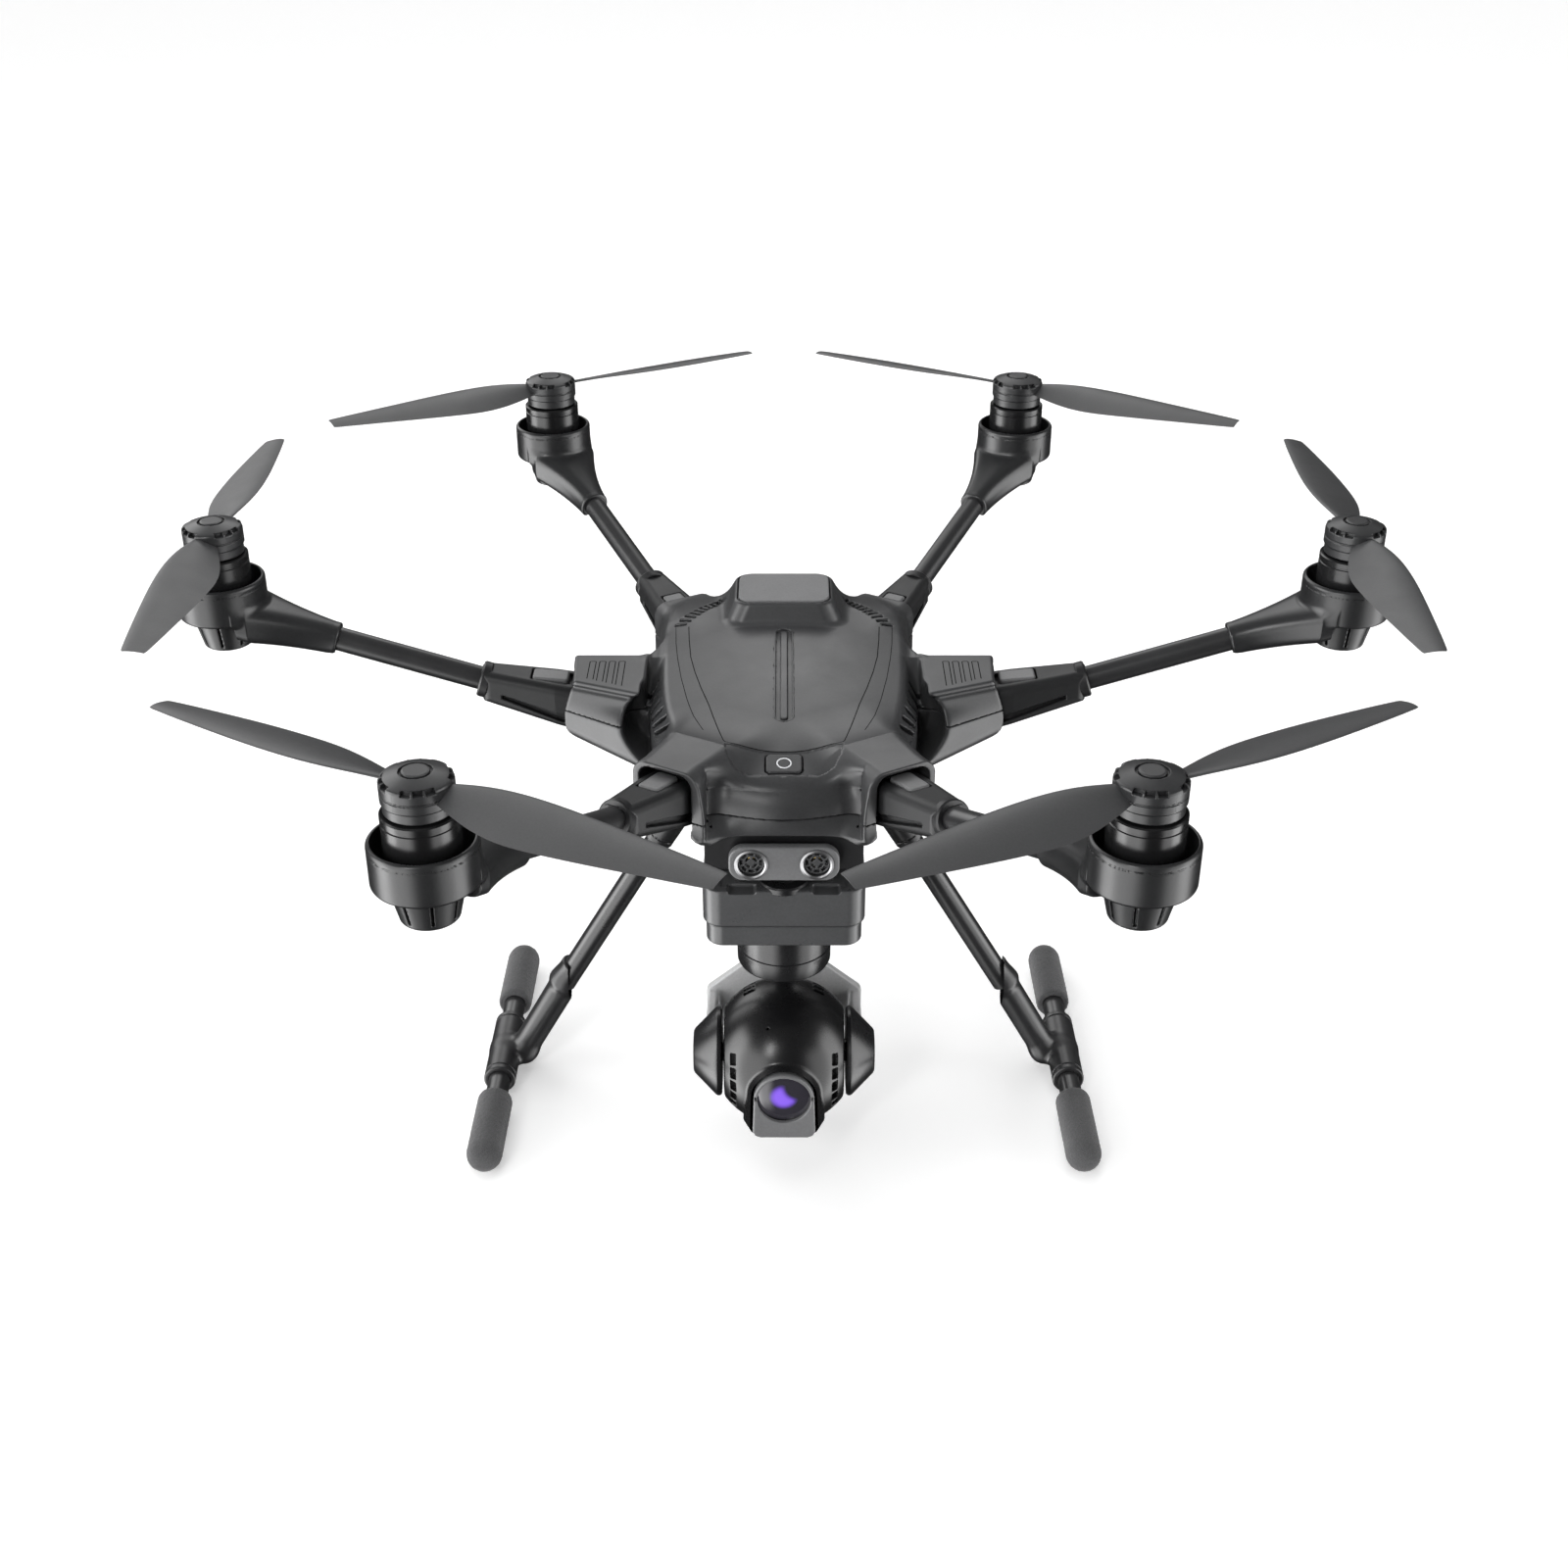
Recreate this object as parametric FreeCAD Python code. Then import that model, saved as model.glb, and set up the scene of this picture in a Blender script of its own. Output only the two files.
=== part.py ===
"""Folding hexacopter camera drone, modelled in millimetres.

Frame: +Z up, the nose faces -Y, the origin is on the ground under the centre of the rotor pattern.
Left and right are the pilot's, looking forward along -Y, so the right side is -X.
Each arm is drawn once in its own frame: s runs outward along the arm, t across it, z up.
"""
import FreeCAD
import Part
import math
import os

V = FreeCAD.Vector
UP = V(0, 0, 1)

# ---- rotor pattern and propellers
ROTOR_RADIUS = 240.0          # rotor axis from the centre line of its own arm frame
MID_SHIFT_OUT = 2.5           # the middle arms sit this much further out
MID_SHIFT_BACK = 9.0          # and this much behind the centre
PROP_RADIUS = 116.5
HUB_TOP = 281.0               # top of the hub button above the ground

# ---- arm: tube, knuckle, fold hinge, latch
ARM_TILT = 17.5               # tubes rise outwards, degrees
TUBE_R = 5.2
TUBE_WALL = 1.0
TUBE_REF_S, TUBE_REF_Z = 128.0, 205.5   # a point on the tube axis
TUBE_IN_S, TUBE_OUT_S = 104.0, 212.0
FOLD_S, FOLD_Z = 84.0, 190.0  # fold hinge axis, runs along t
PIN_R = 2.5
PIN_CLEARANCE = 0.06
KNUCKLE_HALF = 11.8
KNUCKLE_IN_S, KNUCKLE_OUT_S = 75.0, 128.0
COLLAR_R = 7.3
TAB_IN_S, TAB_OUT_S, TAB_HALF = 93.0, 104.0, 5.0
TAB_Z, TAB_H = 206.0, 2.6
TAB_TRAVEL = 2.5              # towards the body

# ---- motor pod, motor and hub heights
CUP_R, CUP_WALL = 19.0, 1.7
CUP_Z0, CUP_Z1 = 238.5, 255.4
LENS_Z0, LENS_R0, LENS_R1 = 224.4, 10.2, 13.4
BELL_R, BELL_Z0, BELL_Z1 = 13.4, 244.0, 266.0
HUB_R, HUB_Z0, HUB_RIM_Z = 12.6, 266.4, 278.2
SHAFT_R = 1.6

# ---- body
SPLIT_Z = 197.0               # upper and lower shell meet here
WALL = 2.2
SLEEVE_HALF, SLEEVE_GAP = 15.2, 12.6
SLEEVE_OUT_S = 96.0
SLEEVE_TOP, SLEEVE_CEILING = 212.4, 210.2
# y, half width, bottom z, top z of the hull's cross-sections, nose to tail
HULL = [(-89.5, 24, 185.5, 197.5), (-87.5, 29, 184.5, 200.5), (-80, 33, 183.5, 204.2), (-68, 38, 181.5, 207.8),
        (-45, 47, 178.5, 213.4), (-18, 56, 176.5, 217.2), (12, 59, 176.0, 219.6), (42, 55, 177.0, 220.5),
        (70, 45, 179.5, 218.5), (90, 37, 182.5, 214.0), (100, 29, 186.0, 208.0)]
SECTION_POWER = 2.9           # 2 is an ellipse, larger is squarer
SPINE_HALF = 3.4
BELLY = (-84.0, 58.0, 31.0, 162.5)     # y front, y back, half width, bottom z
CHIN_BACK_Y = -58.0                    # in front of this the belly is waisted, clear of the front arms
CHIN_FRONT_HALF, CHIN_WAIST_HALF, CHIN_WAIST_Y = 32.0, 24.0, -67.5
PUCK_TOP_Z = 227.0
BATTERY = (-22.0, 103.5, 23.5, 182.6, 208.0)   # y front, y back, half width, bottom, top
BATTERY_GAP = 0.8

# ---- legs
LEG_X, LEG_Z = 45.0, 150.5    # retract hinge axis, runs along y
LEG_ANGLE = 59.5              # strut below the horizontal
LEG_R = 5.2
LEG_HUB_R, LEG_HUB_HALF = 8.0, 8.0
SKID_X, SKID_Z = 136.0, 8.0
SKID_HALF = 76.0
FOAM_R, FOAM_IN_Y, FOAM_OUT_Y = 8.3, 38.0, 84.0    # the underside is trimmed flat at the ground
TEE_R, TEE_HALF = 7.4, 23.0
STRUT_END = 118.0             # strut length from the hinge to inside the elbow

# ---- gimbal and camera
YAW_Y = -50.0
TRAY = (-85.0, -15.0, 34.0, 127.0, 154.8)      # y front, y back, half width, bottom, top
YAW_R, YAW_Z0, YAW_SHAFT_R = 20.6, 98.0, 6.0
CAM_Z = 46.5                  # pitch and roll axes
BALL_R, BALL_HALF = 33.9, 27.0
CAP_IN_X, CAP_OUT_X, CAP_IN_R, CAP_OUT_R = 28.2, 40.5, 20.4, 9.2
YOKE_Y0, YOKE_Y1 = -15.5, -9.5
ROLL_R = 14.0
LENS_AXIS_Z, HOOD_FRONT_Y, HOOD_HALF = 46.0, -88.0, 14.3
JAW_Z = 25.4                  # bottom of the lens surround


# ------------------------------------------------------------------ helpers
def box(x0, x1, y0, y1, z0, z1):
    """Box between two corners."""
    return Part.makeBox(x1 - x0, y1 - y0, z1 - z0, V(x0, y0, z0))


def rod(radius, start, end):
    """Solid cylinder between two points."""
    a, b = V(*start), V(*end)
    return Part.makeCylinder(radius, (b - a).Length, a, b - a)


def prism(points, direction):
    """Solid from a closed polygon pushed along a vector."""
    wire = Part.makePolygon([V(*p) for p in points] + [V(*points[0])])
    return Part.Face(wire).extrude(V(*direction))


def revolve(profile, axis_at=(0, 0, 0), axis=(0, 0, 1)):
    """Full turn of a closed polygon about an axis."""
    wire = Part.makePolygon([V(*p) for p in profile] + [V(*profile[0])])
    return Part.Face(wire).revolve(V(*axis_at), V(*axis), 360)


def soften(shape, radius, pick):
    """Fillets the edges that pick chooses; halves the radius once if the first try fails."""
    edges = [e for e in shape.Edges if pick(e)]
    for r in (radius, radius / 2):
        try:
            made = shape.makeFillet(r, edges)
            if made.isValid() and made.Volume > 0:
                return made
        except Exception:
            continue
    return shape


def upright(edge):
    """True for a straight edge along z."""
    return isinstance(edge.Curve, Part.Line) and abs(edge.tangentAt(edge.FirstParameter).z) > 0.999


def solids_of(shape):
    """Clean solids of a shape, largest first, crumbs left out."""
    found = sorted(shape.removeSplitter().Solids, key=lambda s: -s.Volume)
    return [s for s in found if s.Volume > 5.0]


def save(name, *shapes):
    """Writes one node: every solid of the given shapes."""
    every = [s for shape in shapes for s in solids_of(shape)]
    assert every and all(s.isValid() for s in every), name
    out = every[0] if len(every) == 1 else Part.makeCompound(every)
    out.exportStep(f"parts/{name}.step")


ARMS = {
    "front_right": (240.0, 0.0, 0.0), "front_left": (300.0, 0.0, 0.0),
    "mid_right": (180.0, -MID_SHIFT_OUT, MID_SHIFT_BACK), "mid_left": (0.0, MID_SHIFT_OUT, MID_SHIFT_BACK),
    "rear_right": (120.0, 0.0, 0.0), "rear_left": (60.0, 0.0, 0.0),
}
CLOCKWISE = ("front_left", "mid_right", "rear_right")


def placed(shape, arm):
    """Copy of a shape from the arm frame, set on one of the six arms."""
    angle, x, y = ARMS[arm]
    made = shape.copy()
    made.rotate(V(0, 0, 0), UP, angle)
    made.translate(V(x, y, 0))
    return made


def on_tube(s, off=0.0):
    """Point on the tube axis at distance s, moved off it by a distance square to the axis."""
    slope = math.radians(ARM_TILT)
    z = TUBE_REF_Z + (s - TUBE_REF_S) * math.tan(slope)
    return (s - off * math.sin(slope), 0, z + off * math.cos(slope))


# ------------------------------------------------------------------ arm pieces, arm frame
def arm_tube():
    outer = rod(TUBE_R, on_tube(TUBE_IN_S), on_tube(TUBE_OUT_S))
    return outer.cut(rod(TUBE_R - TUBE_WALL, on_tube(TUBE_IN_S - 5), on_tube(TUBE_OUT_S + 5)))


def knuckle():
    """Tapered root fitting: side view cut with a plan view, collar on the outer end, pin bore."""
    side = [(KNUCKLE_IN_S, -20, 186), (KNUCKLE_IN_S + 6, -20, 182), (92, -20, 184.5), (KNUCKLE_OUT_S - 1, -20, 198.4),
            (KNUCKLE_OUT_S - 2.5, -20, 211.6), (98, -20, 207.0), (86, -20, 205.2), (KNUCKLE_IN_S + 2, -20, 201.5),
            (KNUCKLE_IN_S, -20, 196)]
    plan = [(KNUCKLE_IN_S - 1, -KNUCKLE_HALF, 170), (98, -KNUCKLE_HALF, 170), (KNUCKLE_OUT_S + 2, -7.0, 170),
            (KNUCKLE_OUT_S + 2, 7.0, 170), (98, KNUCKLE_HALF, 170), (KNUCKLE_IN_S - 1, KNUCKLE_HALF, 170)]
    body = prism(side, (0, 40, 0)).common(prism(plan, (0, 0, 60)))
    long_edges = lambda e: e.Length > 20 and abs(e.tangentAt(e.FirstParameter).x) > 0.8
    body = soften(body, 3.0, long_edges)
    body = body.fuse(rod(COLLAR_R, on_tube(KNUCKLE_OUT_S - 8), on_tube(KNUCKLE_OUT_S + 2)))
    body = body.cut(rod(TUBE_R, on_tube(TUBE_IN_S), on_tube(KNUCKLE_OUT_S + 9)))
    body = body.cut(rod(PIN_R + PIN_CLEARANCE, (FOLD_S, -30, FOLD_Z), (FOLD_S, 30, FOLD_Z)))
    for side_sign in (-1, 1):
        slot = [on_tube(111, -1.3), on_tube(111, 0.7), on_tube(84, 1.6), on_tube(84, -2.4)]
        slot = prism([(p[0], side_sign * (KNUCKLE_HALF - 2.4), p[2]) for p in slot], (0, side_sign * 10, 0))
        body = body.cut(slot)
    recess = box(TAB_IN_S - TAB_TRAVEL - 1, TAB_OUT_S + 0.5, -TAB_HALF - 0.3, TAB_HALF + 0.3, TAB_Z - 2.2, 230)
    return body.cut(recess)


def latch_tab():
    """Sliding release tab that sits in the knuckle's top pocket."""
    tab = box(TAB_IN_S, TAB_OUT_S, -TAB_HALF, TAB_HALF, TAB_Z - 2.1, TAB_Z + TAB_H)
    tab = soften(tab, 1.0, lambda e: e.BoundBox.ZMin > TAB_Z + 2 or upright(e))
    for i in range(4):
        x = TAB_IN_S + 3.5 + 2.2 * i
        tab = tab.cut(box(x, x + 0.8, -TAB_HALF + 1.4, TAB_HALF - 1.4, TAB_Z + TAB_H - 0.5, TAB_Z + 9))
    return tab


def motor_pod():
    """Open cup round the motor, its floor, the neck down to the tube, and the cone below."""
    r = ROTOR_RADIUS
    cup = revolve([(r, 0, CUP_Z0), (r + CUP_R - 1.5, 0, CUP_Z0), (r + CUP_R, 0, CUP_Z0 + 1.5),
                   (r + CUP_R, 0, CUP_Z1 - 0.5), (r + CUP_R - 0.5, 0, CUP_Z1), (r, 0, CUP_Z1)], (r, 0, 0))
    neck_in = 191.0
    side = [(neck_in, -20, 219.8), (207, -20, 220.6), (217, -20, 226), (224, -20, CUP_Z0), (240, -20, CUP_Z0),
            (240, -20, 250), (224, -20, 247.5), (213, -20, 242.5), (neck_in, -20, 233.6)]
    plan = [(neck_in - 1, -7.2, 210), (205, -7.8, 210), (216, -10, 210), (226, -15, 210), (240, -18.5, 210),
            (240, 18.5, 210), (226, 15, 210), (216, 10, 210), (205, 7.8, 210), (neck_in - 1, 7.2, 210)]
    neck = prism(side, (0, 40, 0)).common(prism(plan, (0, 0, 50)))
    neck = neck.fuse(rod(COLLAR_R, on_tube(neck_in - 1), on_tube(206)))
    inside = revolve([(r, 0, CUP_Z0 + 2), (r + CUP_R - CUP_WALL, 0, CUP_Z0 + 2), (r + CUP_R - CUP_WALL, 0, 300),
                      (r, 0, 300)], (r, 0, 0))
    cone = revolve([(r, 0, LENS_Z0), (r + LENS_R0 - 1.5, 0, LENS_Z0), (r + LENS_R0, 0, LENS_Z0 + 1.2),
                    (r + LENS_R1, 0, CUP_Z0 + 0.5), (r, 0, CUP_Z0 + 0.5)], (r, 0, 0))
    body = cup.fuse(neck).fuse(cone).cut(inside)
    body = body.cut(rod(TUBE_R, on_tube(180), on_tube(TUBE_OUT_S)))
    body = body.cut(rod(TUBE_R - TUBE_WALL, on_tube(TUBE_OUT_S - 1), on_tube(TUBE_OUT_S + 6)))
    for i in range(8):
        slit = box(LENS_R0 - 1.6, LENS_R1 + 2, -0.35, 0.35, LENS_Z0 + 1.0, CUP_Z0 - 0.6)
        slit.rotate(V(0, 0, 0), UP, 22.5 + 45 * i)
        slit.translate(V(r, 0, 0))
        body = body.cut(slit)
    return body.cut(Part.makeCylinder(4.0, 9, V(r, 0, CUP_Z0 - 3)))


def stator():
    """Fixed wound core with its bearing tube, inside the spinning bell."""
    r = ROTOR_RADIUS
    floor = CUP_Z0 + 2
    base = Part.makeCylinder(9.0, 1.6, V(r, 0, floor))
    tube = Part.makeCylinder(4.0, 22, V(r, 0, CUP_Z0 - 1))
    core = Part.makeCylinder(10.6, 12.5, V(r, 0, floor + 4.5))
    for i in range(12):
        gap = box(6.0, 12.0, -0.7, 0.7, floor + 4, floor + 18)
        gap.rotate(V(0, 0, 0), UP, 30 * i)
        gap.translate(V(r, 0, 0))
        core = core.cut(gap)
    bore = Part.makeCylinder(SHAFT_R + 0.05, 60, V(r, 0, 225))
    return base.fuse(tube).fuse(core).cut(bore)


def motor_bell():
    """Spinning can, closed on top round the shaft."""
    r = ROTOR_RADIUS
    can = revolve([(r, 0, BELL_Z0), (r + BELL_R - 0.4, 0, BELL_Z0), (r + BELL_R, 0, BELL_Z0 + 0.4),
                   (r + BELL_R, 0, BELL_Z1 - 0.8), (r + BELL_R - 0.8, 0, BELL_Z1), (r, 0, BELL_Z1)], (r, 0, 0))
    can = can.cut(Part.makeCylinder(BELL_R - 1.8, BELL_Z1 - BELL_Z0 - 3.0, V(r, 0, BELL_Z0 - 1)))
    shaft = Part.makeCylinder(SHAFT_R, 32.5, V(r, 0, CUP_Z0 + 0.2))
    return can.fuse(shaft)


def blade_section(radius, chord, twist, thickness, sweep):
    """Closed airfoil outline square to the blade at one radius. The blade runs along +t, leading edge to +s."""
    upper = [(0.0, 0.0), (0.06, 0.55), (0.25, 1.0), (0.55, 0.85), (0.8, 0.45), (1.0, 0.06)]
    lower = [(0.8, -0.02), (0.45, -0.12), (0.12, -0.3)]
    angle = math.radians(twist)
    points = []
    for along, height in upper + lower:
        x = sweep - chord * along
        z = thickness * height
        points.append(V(x * math.cos(angle) - z * math.sin(angle), radius, x * math.sin(angle) + z * math.cos(angle)))
    curve = Part.BSplineCurve()
    curve.interpolate(points, PeriodicFlag=True)
    return Part.Wire([curve.toShape()])


# radius, chord, twist in degrees, thickness, leading edge ahead of the pitch line
BLADE = [(9, 8.0, 21, 2.6, 4.0), (16, 12.0, 20, 2.3, 6.0), (28, 18.8, 17.5, 2.0, 8.6), (42, 22.4, 14.5, 1.8, 9.8),
         (58, 21.8, 12, 1.6, 9.6), (76, 18.8, 10, 1.4, 8.4), (94, 14.8, 8.5, 1.2, 6.8), (108, 11.4, 7.5, 1.0, 5.4),
         (PROP_RADIUS, 9.0, 7, 0.9, 4.4)]


def propeller():
    """Quick-release propeller: hub ring, slotted cap and two blades in one moulding.

    Blades lie along t. Mirrored in s here, it turns anticlockwise seen from above.
    """
    blade = Part.makeLoft([blade_section(*row) for row in BLADE], True, False)
    blade = blade.mirror(V(0, 0, 0), V(1, 0, 0))
    blade.translate(V(0, 0, HUB_RIM_Z - 3.2))
    other = blade.copy()
    other.rotate(V(0, 0, 0), UP, 180)
    rim = HUB_RIM_Z
    hub = revolve([(0, 0, HUB_Z0), (HUB_R - 0.7, 0, HUB_Z0), (HUB_R - 0.7, 0, HUB_Z0 + 1.2), (HUB_R, 0, HUB_Z0 + 1.2),
                   (HUB_R, 0, rim - 4.7), (HUB_R - 0.35, 0, rim - 4.6), (HUB_R - 0.35, 0, rim - 4.2),
                   (HUB_R, 0, rim - 4.1), (HUB_R, 0, rim), (HUB_R - 1.6, 0, rim + 1.3), (8.4, 0, rim + 2.2),
                   (5.3, 0, rim + 2.6), (5.3, 0, rim + 1.9), (4.4, 0, rim + 1.9), (4.4, 0, HUB_TOP), (0, 0, HUB_TOP)])
    for start in (0, 180):
        for a in (-62, -42, -22, 22, 42, 62):
            slot = box(HUB_R - 1.9, HUB_R + 3, -1.6, 1.6, rim - 0.5, rim + 0.9)
            slot.rotate(V(0, 0, 0), UP, start + a)
            hub = hub.cut(slot)
    whole = hub.fuse(blade).fuse(other)
    whole = whole.cut(Part.makeCylinder(SHAFT_R, 5.2, V(0, 0, HUB_Z0 - 0.1)))
    whole.translate(V(ROTOR_RADIUS, 0, 0))
    return whole


# ------------------------------------------------------------------ body
def section(y, half, z0, z1, inset=0.0):
    """Rounded cross-section of the hull, square to y."""
    points = []
    centre, rise = (z0 + z1) / 2, (z1 - z0) / 2 - inset
    for k in range(28):
        a = 2 * math.pi * (k + 0.5) / 28
        c, s = math.cos(a), math.sin(a)
        power = 2 / SECTION_POWER
        points.append(V((half - inset) * math.copysign(abs(c) ** power, c), y,
                        centre + rise * math.copysign(abs(s) ** power, s)))
    curve = Part.BSplineCurve()
    curve.interpolate(points, PeriodicFlag=True)
    return Part.Wire([curve.toShape()])


def hull(inset=0.0):
    rows = HULL if not inset else [(HULL[0][0] + inset + 1, *HULL[1][1:])] + HULL[2:-1] + [
        (HULL[-1][0] - inset, *HULL[-1][1:])]
    return Part.makeLoft([section(*row, inset) for row in rows], True, False)


def sleeve(start):
    """Outside of one arm sleeve, from s = start to its mouth, underside rising outwards."""
    outer = box(start, SLEEVE_OUT_S, -SLEEVE_HALF, SLEEVE_HALF, 160, SLEEVE_TOP)
    outer = soften(outer, 5.0, lambda e: abs(e.tangentAt(e.FirstParameter).x) > 0.9 and e.BoundBox.ZMin > 200)
    under = prism([(40, -30, 150), (120, -30, 150), (120, -30, 196), (SLEEVE_OUT_S, -30, 187), (72, -30, 177.5),
                   (40, -30, 172)], (0, 60, 0))
    return outer.cut(under)


def sleeve_room():
    """Space the knuckle needs inside a sleeve, open outwards and downwards."""
    return box(71.5, SLEEVE_OUT_S + 6, -SLEEVE_GAP, SLEEVE_GAP, 150, SLEEVE_CEILING)


def puck():
    """Raised housing for the positioning antenna, flared at its foot."""
    rows = [(35, 87, 29, 9, 216.0), (38, 84, 26.5, 8.5, 221.0), (42.5, 79.5, 23.3, 8, PUCK_TOP_Z)]
    wires = []
    for y0, y1, half, corner, z in rows:
        flat = box(-half, half, y0, y1, z, z + 1)
        flat = flat.makeFillet(corner, [e for e in flat.Edges if upright(e)])
        wires.append(min(flat.Faces, key=lambda f: f.CenterOfMass.z).OuterWire)
    return Part.makeLoft(wires, True, True)


def lid_plate():
    plate = box(-20.8, 20.8, 45.0, 77.0, PUCK_TOP_Z - 1.2, PUCK_TOP_Z + 0.5)
    plate = plate.makeFillet(6.5, [e for e in plate.Edges if upright(e)])
    return soften(plate, 0.4, lambda e: e.BoundBox.ZMin > PUCK_TOP_Z + 0.4)


def lid_pocket():
    pocket = box(-21.2, 21.2, 44.6, 77.4, PUCK_TOP_Z - 1.2, PUCK_TOP_Z + 3)
    return pocket.makeFillet(6.9, [e for e in pocket.Edges if upright(e)])


def belly(inset):
    """Electronics bay under the hull with a waisted chin in front."""
    y0, y1, half, z0 = BELLY
    bay = box(-half + inset, half - inset, CHIN_BACK_Y + inset, y1 - inset, z0 + inset, 190)
    front, waist = CHIN_FRONT_HALF - inset, CHIN_WAIST_HALF - inset
    right = [(-front, y0 + inset), (-waist, CHIN_WAIST_Y), (-waist, CHIN_BACK_Y + 20)]
    outline = [(x, y, z0 + inset) for x, y in right + [(-x, y) for x, y in reversed(right)]]
    chin = prism(outline, (0, 0, 190 - z0 - inset))
    return soften(bay, 8.0 - inset, upright).fuse(soften(chin, 2.5, upright))


BUTTON_TILT = 14.0
BUTTON_AT = V(0, -69.0, 207.0)


def tilted(shape):
    """Sets a shape drawn round the origin on the nose slope, where the power button is."""
    made = shape.copy()
    made.rotate(V(0, 0, 0), V(1, 0, 0), BUTTON_TILT)
    made.translate(BUTTON_AT)
    return made


def button_shape(grow, z0, z1):
    plate = box(-10.0 - grow, 10.0 + grow, -6.2 - grow, 6.2 + grow, z0, z1)
    return plate.makeFillet(2.6 + grow, [e for e in plate.Edges if upright(e)])


def power_button():
    cap = button_shape(0, -3.4, 0.9)
    ring = Part.makeCylinder(4.4, 2, V(0, 0, 0.6)).cut(Part.makeCylinder(3.6, 2, V(0, 0, 0.6)))
    return tilted(cap.cut(ring))


def spine(half, lift):
    """Bar along the middle of the back, following its slope."""
    y0, y1 = -46.0, 33.0
    bar = box(-half, half, y0 + lift, y1 - lift, lift, 3.0 + lift)
    bar.rotate(V(0, y0, 0), V(1, 0, 0), 5.2)
    bar.translate(V(0, 0, 211.8))
    return bar


def spine_trim():
    return spine(1.5, 0.05).common(spine(SPINE_HALF, 0))


def rib_grooves():
    """Grooves that leave four raised ribs across the top of each middle sleeve."""
    made = []
    for arm in ("mid_right", "mid_left"):
        for i in range(3):
            s = 68.5 + 7.2 * i
            groove = box(s, s + 2.2, -SLEEVE_HALF + 3, SLEEVE_HALF - 3, SLEEVE_TOP - 1.0, SLEEVE_TOP + 2)
            made.append(placed(groove, arm))
    return made


def vents():
    """Air slots: a fan of them on each side of the tail, and slanted ones low on the flanks."""
    made = []
    for side in (-1, 1):
        for i in range(7):
            slot = box(-0.9, 0.9, -4.5, 4.5, 205, 240)
            slot.rotate(V(0, 0, 0), UP, side * (-50 + 9 * i))
            a = math.radians(28 + 7 * i)
            slot.translate(V(side * 46 * math.cos(a), 22 + 44 * math.sin(a), 0))
            made.append(slot)
        for i in range(5):
            slot = box(-6, 6, -0.9, 0.9, -4.5, 4.5)
            slot.rotate(V(0, 0, 0), V(1, 0, 0), 30)
            slot.translate(V(side * 52.5, -42 + 4.6 * i, 187.5))
            made.append(slot)
    return made


def body_screws():
    """Countersunk-look screws in the floor of the bay."""
    z0 = BELLY[3]
    return [Part.makeCylinder(1.6, 1.2, V(x, y, z0 - 0.6)) for x in (-25, 25) for y in (-46, 5, 50)]


def shells():
    """Upper and lower body shells, cut from one hull with sleeves, belly and antenna housing."""
    starts = {arm: (46.0 if arm.startswith("mid") else 50.0) for arm in ARMS}
    outside = hull().fuse([placed(sleeve(starts[arm]), arm) for arm in ARMS] + [belly(0), puck()])
    keep = [placed(sleeve(76.0), arm) for arm in ARMS]
    room = hull(WALL).fuse(belly(WALL))
    for piece in keep:
        room = room.cut(piece)
    body = outside.cut(room)
    for arm in ARMS:
        body = body.cut(placed(sleeve_room(), arm))
        body = body.cut(placed(rod(PIN_R, (FOLD_S, -40, FOLD_Z), (FOLD_S, 40, FOLD_Z)), arm))
    y0, y1, half, z0, z1 = BATTERY
    body = body.cut(box(-half - BATTERY_GAP, half + BATTERY_GAP, 40, 130, z0 - BATTERY_GAP, z1 + BATTERY_GAP))
    body = body.cut(lid_pocket())
    body = body.cut(tilted(button_shape(0.35, -12, 12)))
    body = body.cut(spine(SPINE_HALF, 0))
    for cutter in rib_grooves() + vents() + body_screws():
        body = body.cut(cutter)
    side = 400
    upper = body.common(box(-side, side, -side, side, SPLIT_Z, side))
    lower = body.common(box(-side, side, -side, side, 0, SPLIT_Z))
    upper, lower = upper.Solids, lower.Solids
    return max(upper, key=lambda s: s.Volume), max(lower, key=lambda s: s.Volume)


def battery():
    """Battery pack with its end handle flush with the tail."""
    y0, y1, half, z0, z1 = BATTERY
    pack = soften(box(-half, half, y0, y1, z0, z1), 3.0, lambda e: abs(e.tangentAt(e.FirstParameter).y) > 0.9)
    grip = soften(box(-12, 12, y1 - 3.0, y1 + 1, z1 - 9, z1 - 3), 1.0, lambda e: True)
    return pack.cut(grip)


def main_board():
    """Flight controller on four posts in the bay."""
    y0, y1, z, thick = -52.0, 8.0, 170.0, 1.6
    board = box(-24, 24, y0, y1, z, z + thick)
    top = z + thick
    chips = [box(-16, -4, y0 + 10, y0 + 22, top, top + 2.0), box(4, 18, y0 + 14, y0 + 30, top, top + 1.6),
             box(-18, -6, y0 + 34, y0 + 48, top, top + 2.2), box(2, 12, y0 + 38, y0 + 46, top, top + 3.0)]
    floor = BELLY[3] + WALL
    posts = [Part.makeCylinder(2.5, z - floor, V(x, y, floor)) for x in (-20, 20) for y in (y0 + 4, y1 - 4)]
    return board.fuse(chips + posts)


# ------------------------------------------------------------------ front sensor
SONAR_Y, SONAR_Z = -84.0, 172.2
SONAR_X = 13.4


def sonar_bezel():
    plate = box(-24, 24, SONAR_Y - 6.5, SONAR_Y, SONAR_Z - 8.5, SONAR_Z + 8.5)
    plate = plate.makeFillet(7.5, [e for e in plate.Edges if abs(e.tangentAt(e.FirstParameter).y) > 0.9])
    plate = soften(plate, 0.8, lambda e: e.BoundBox.YMax < SONAR_Y - 6.4)
    for x in (-SONAR_X, SONAR_X):
        plate = plate.cut(rod(6.6, (x, SONAR_Y - 9, SONAR_Z), (x, SONAR_Y - 0.8, SONAR_Z)))
    return plate


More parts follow.
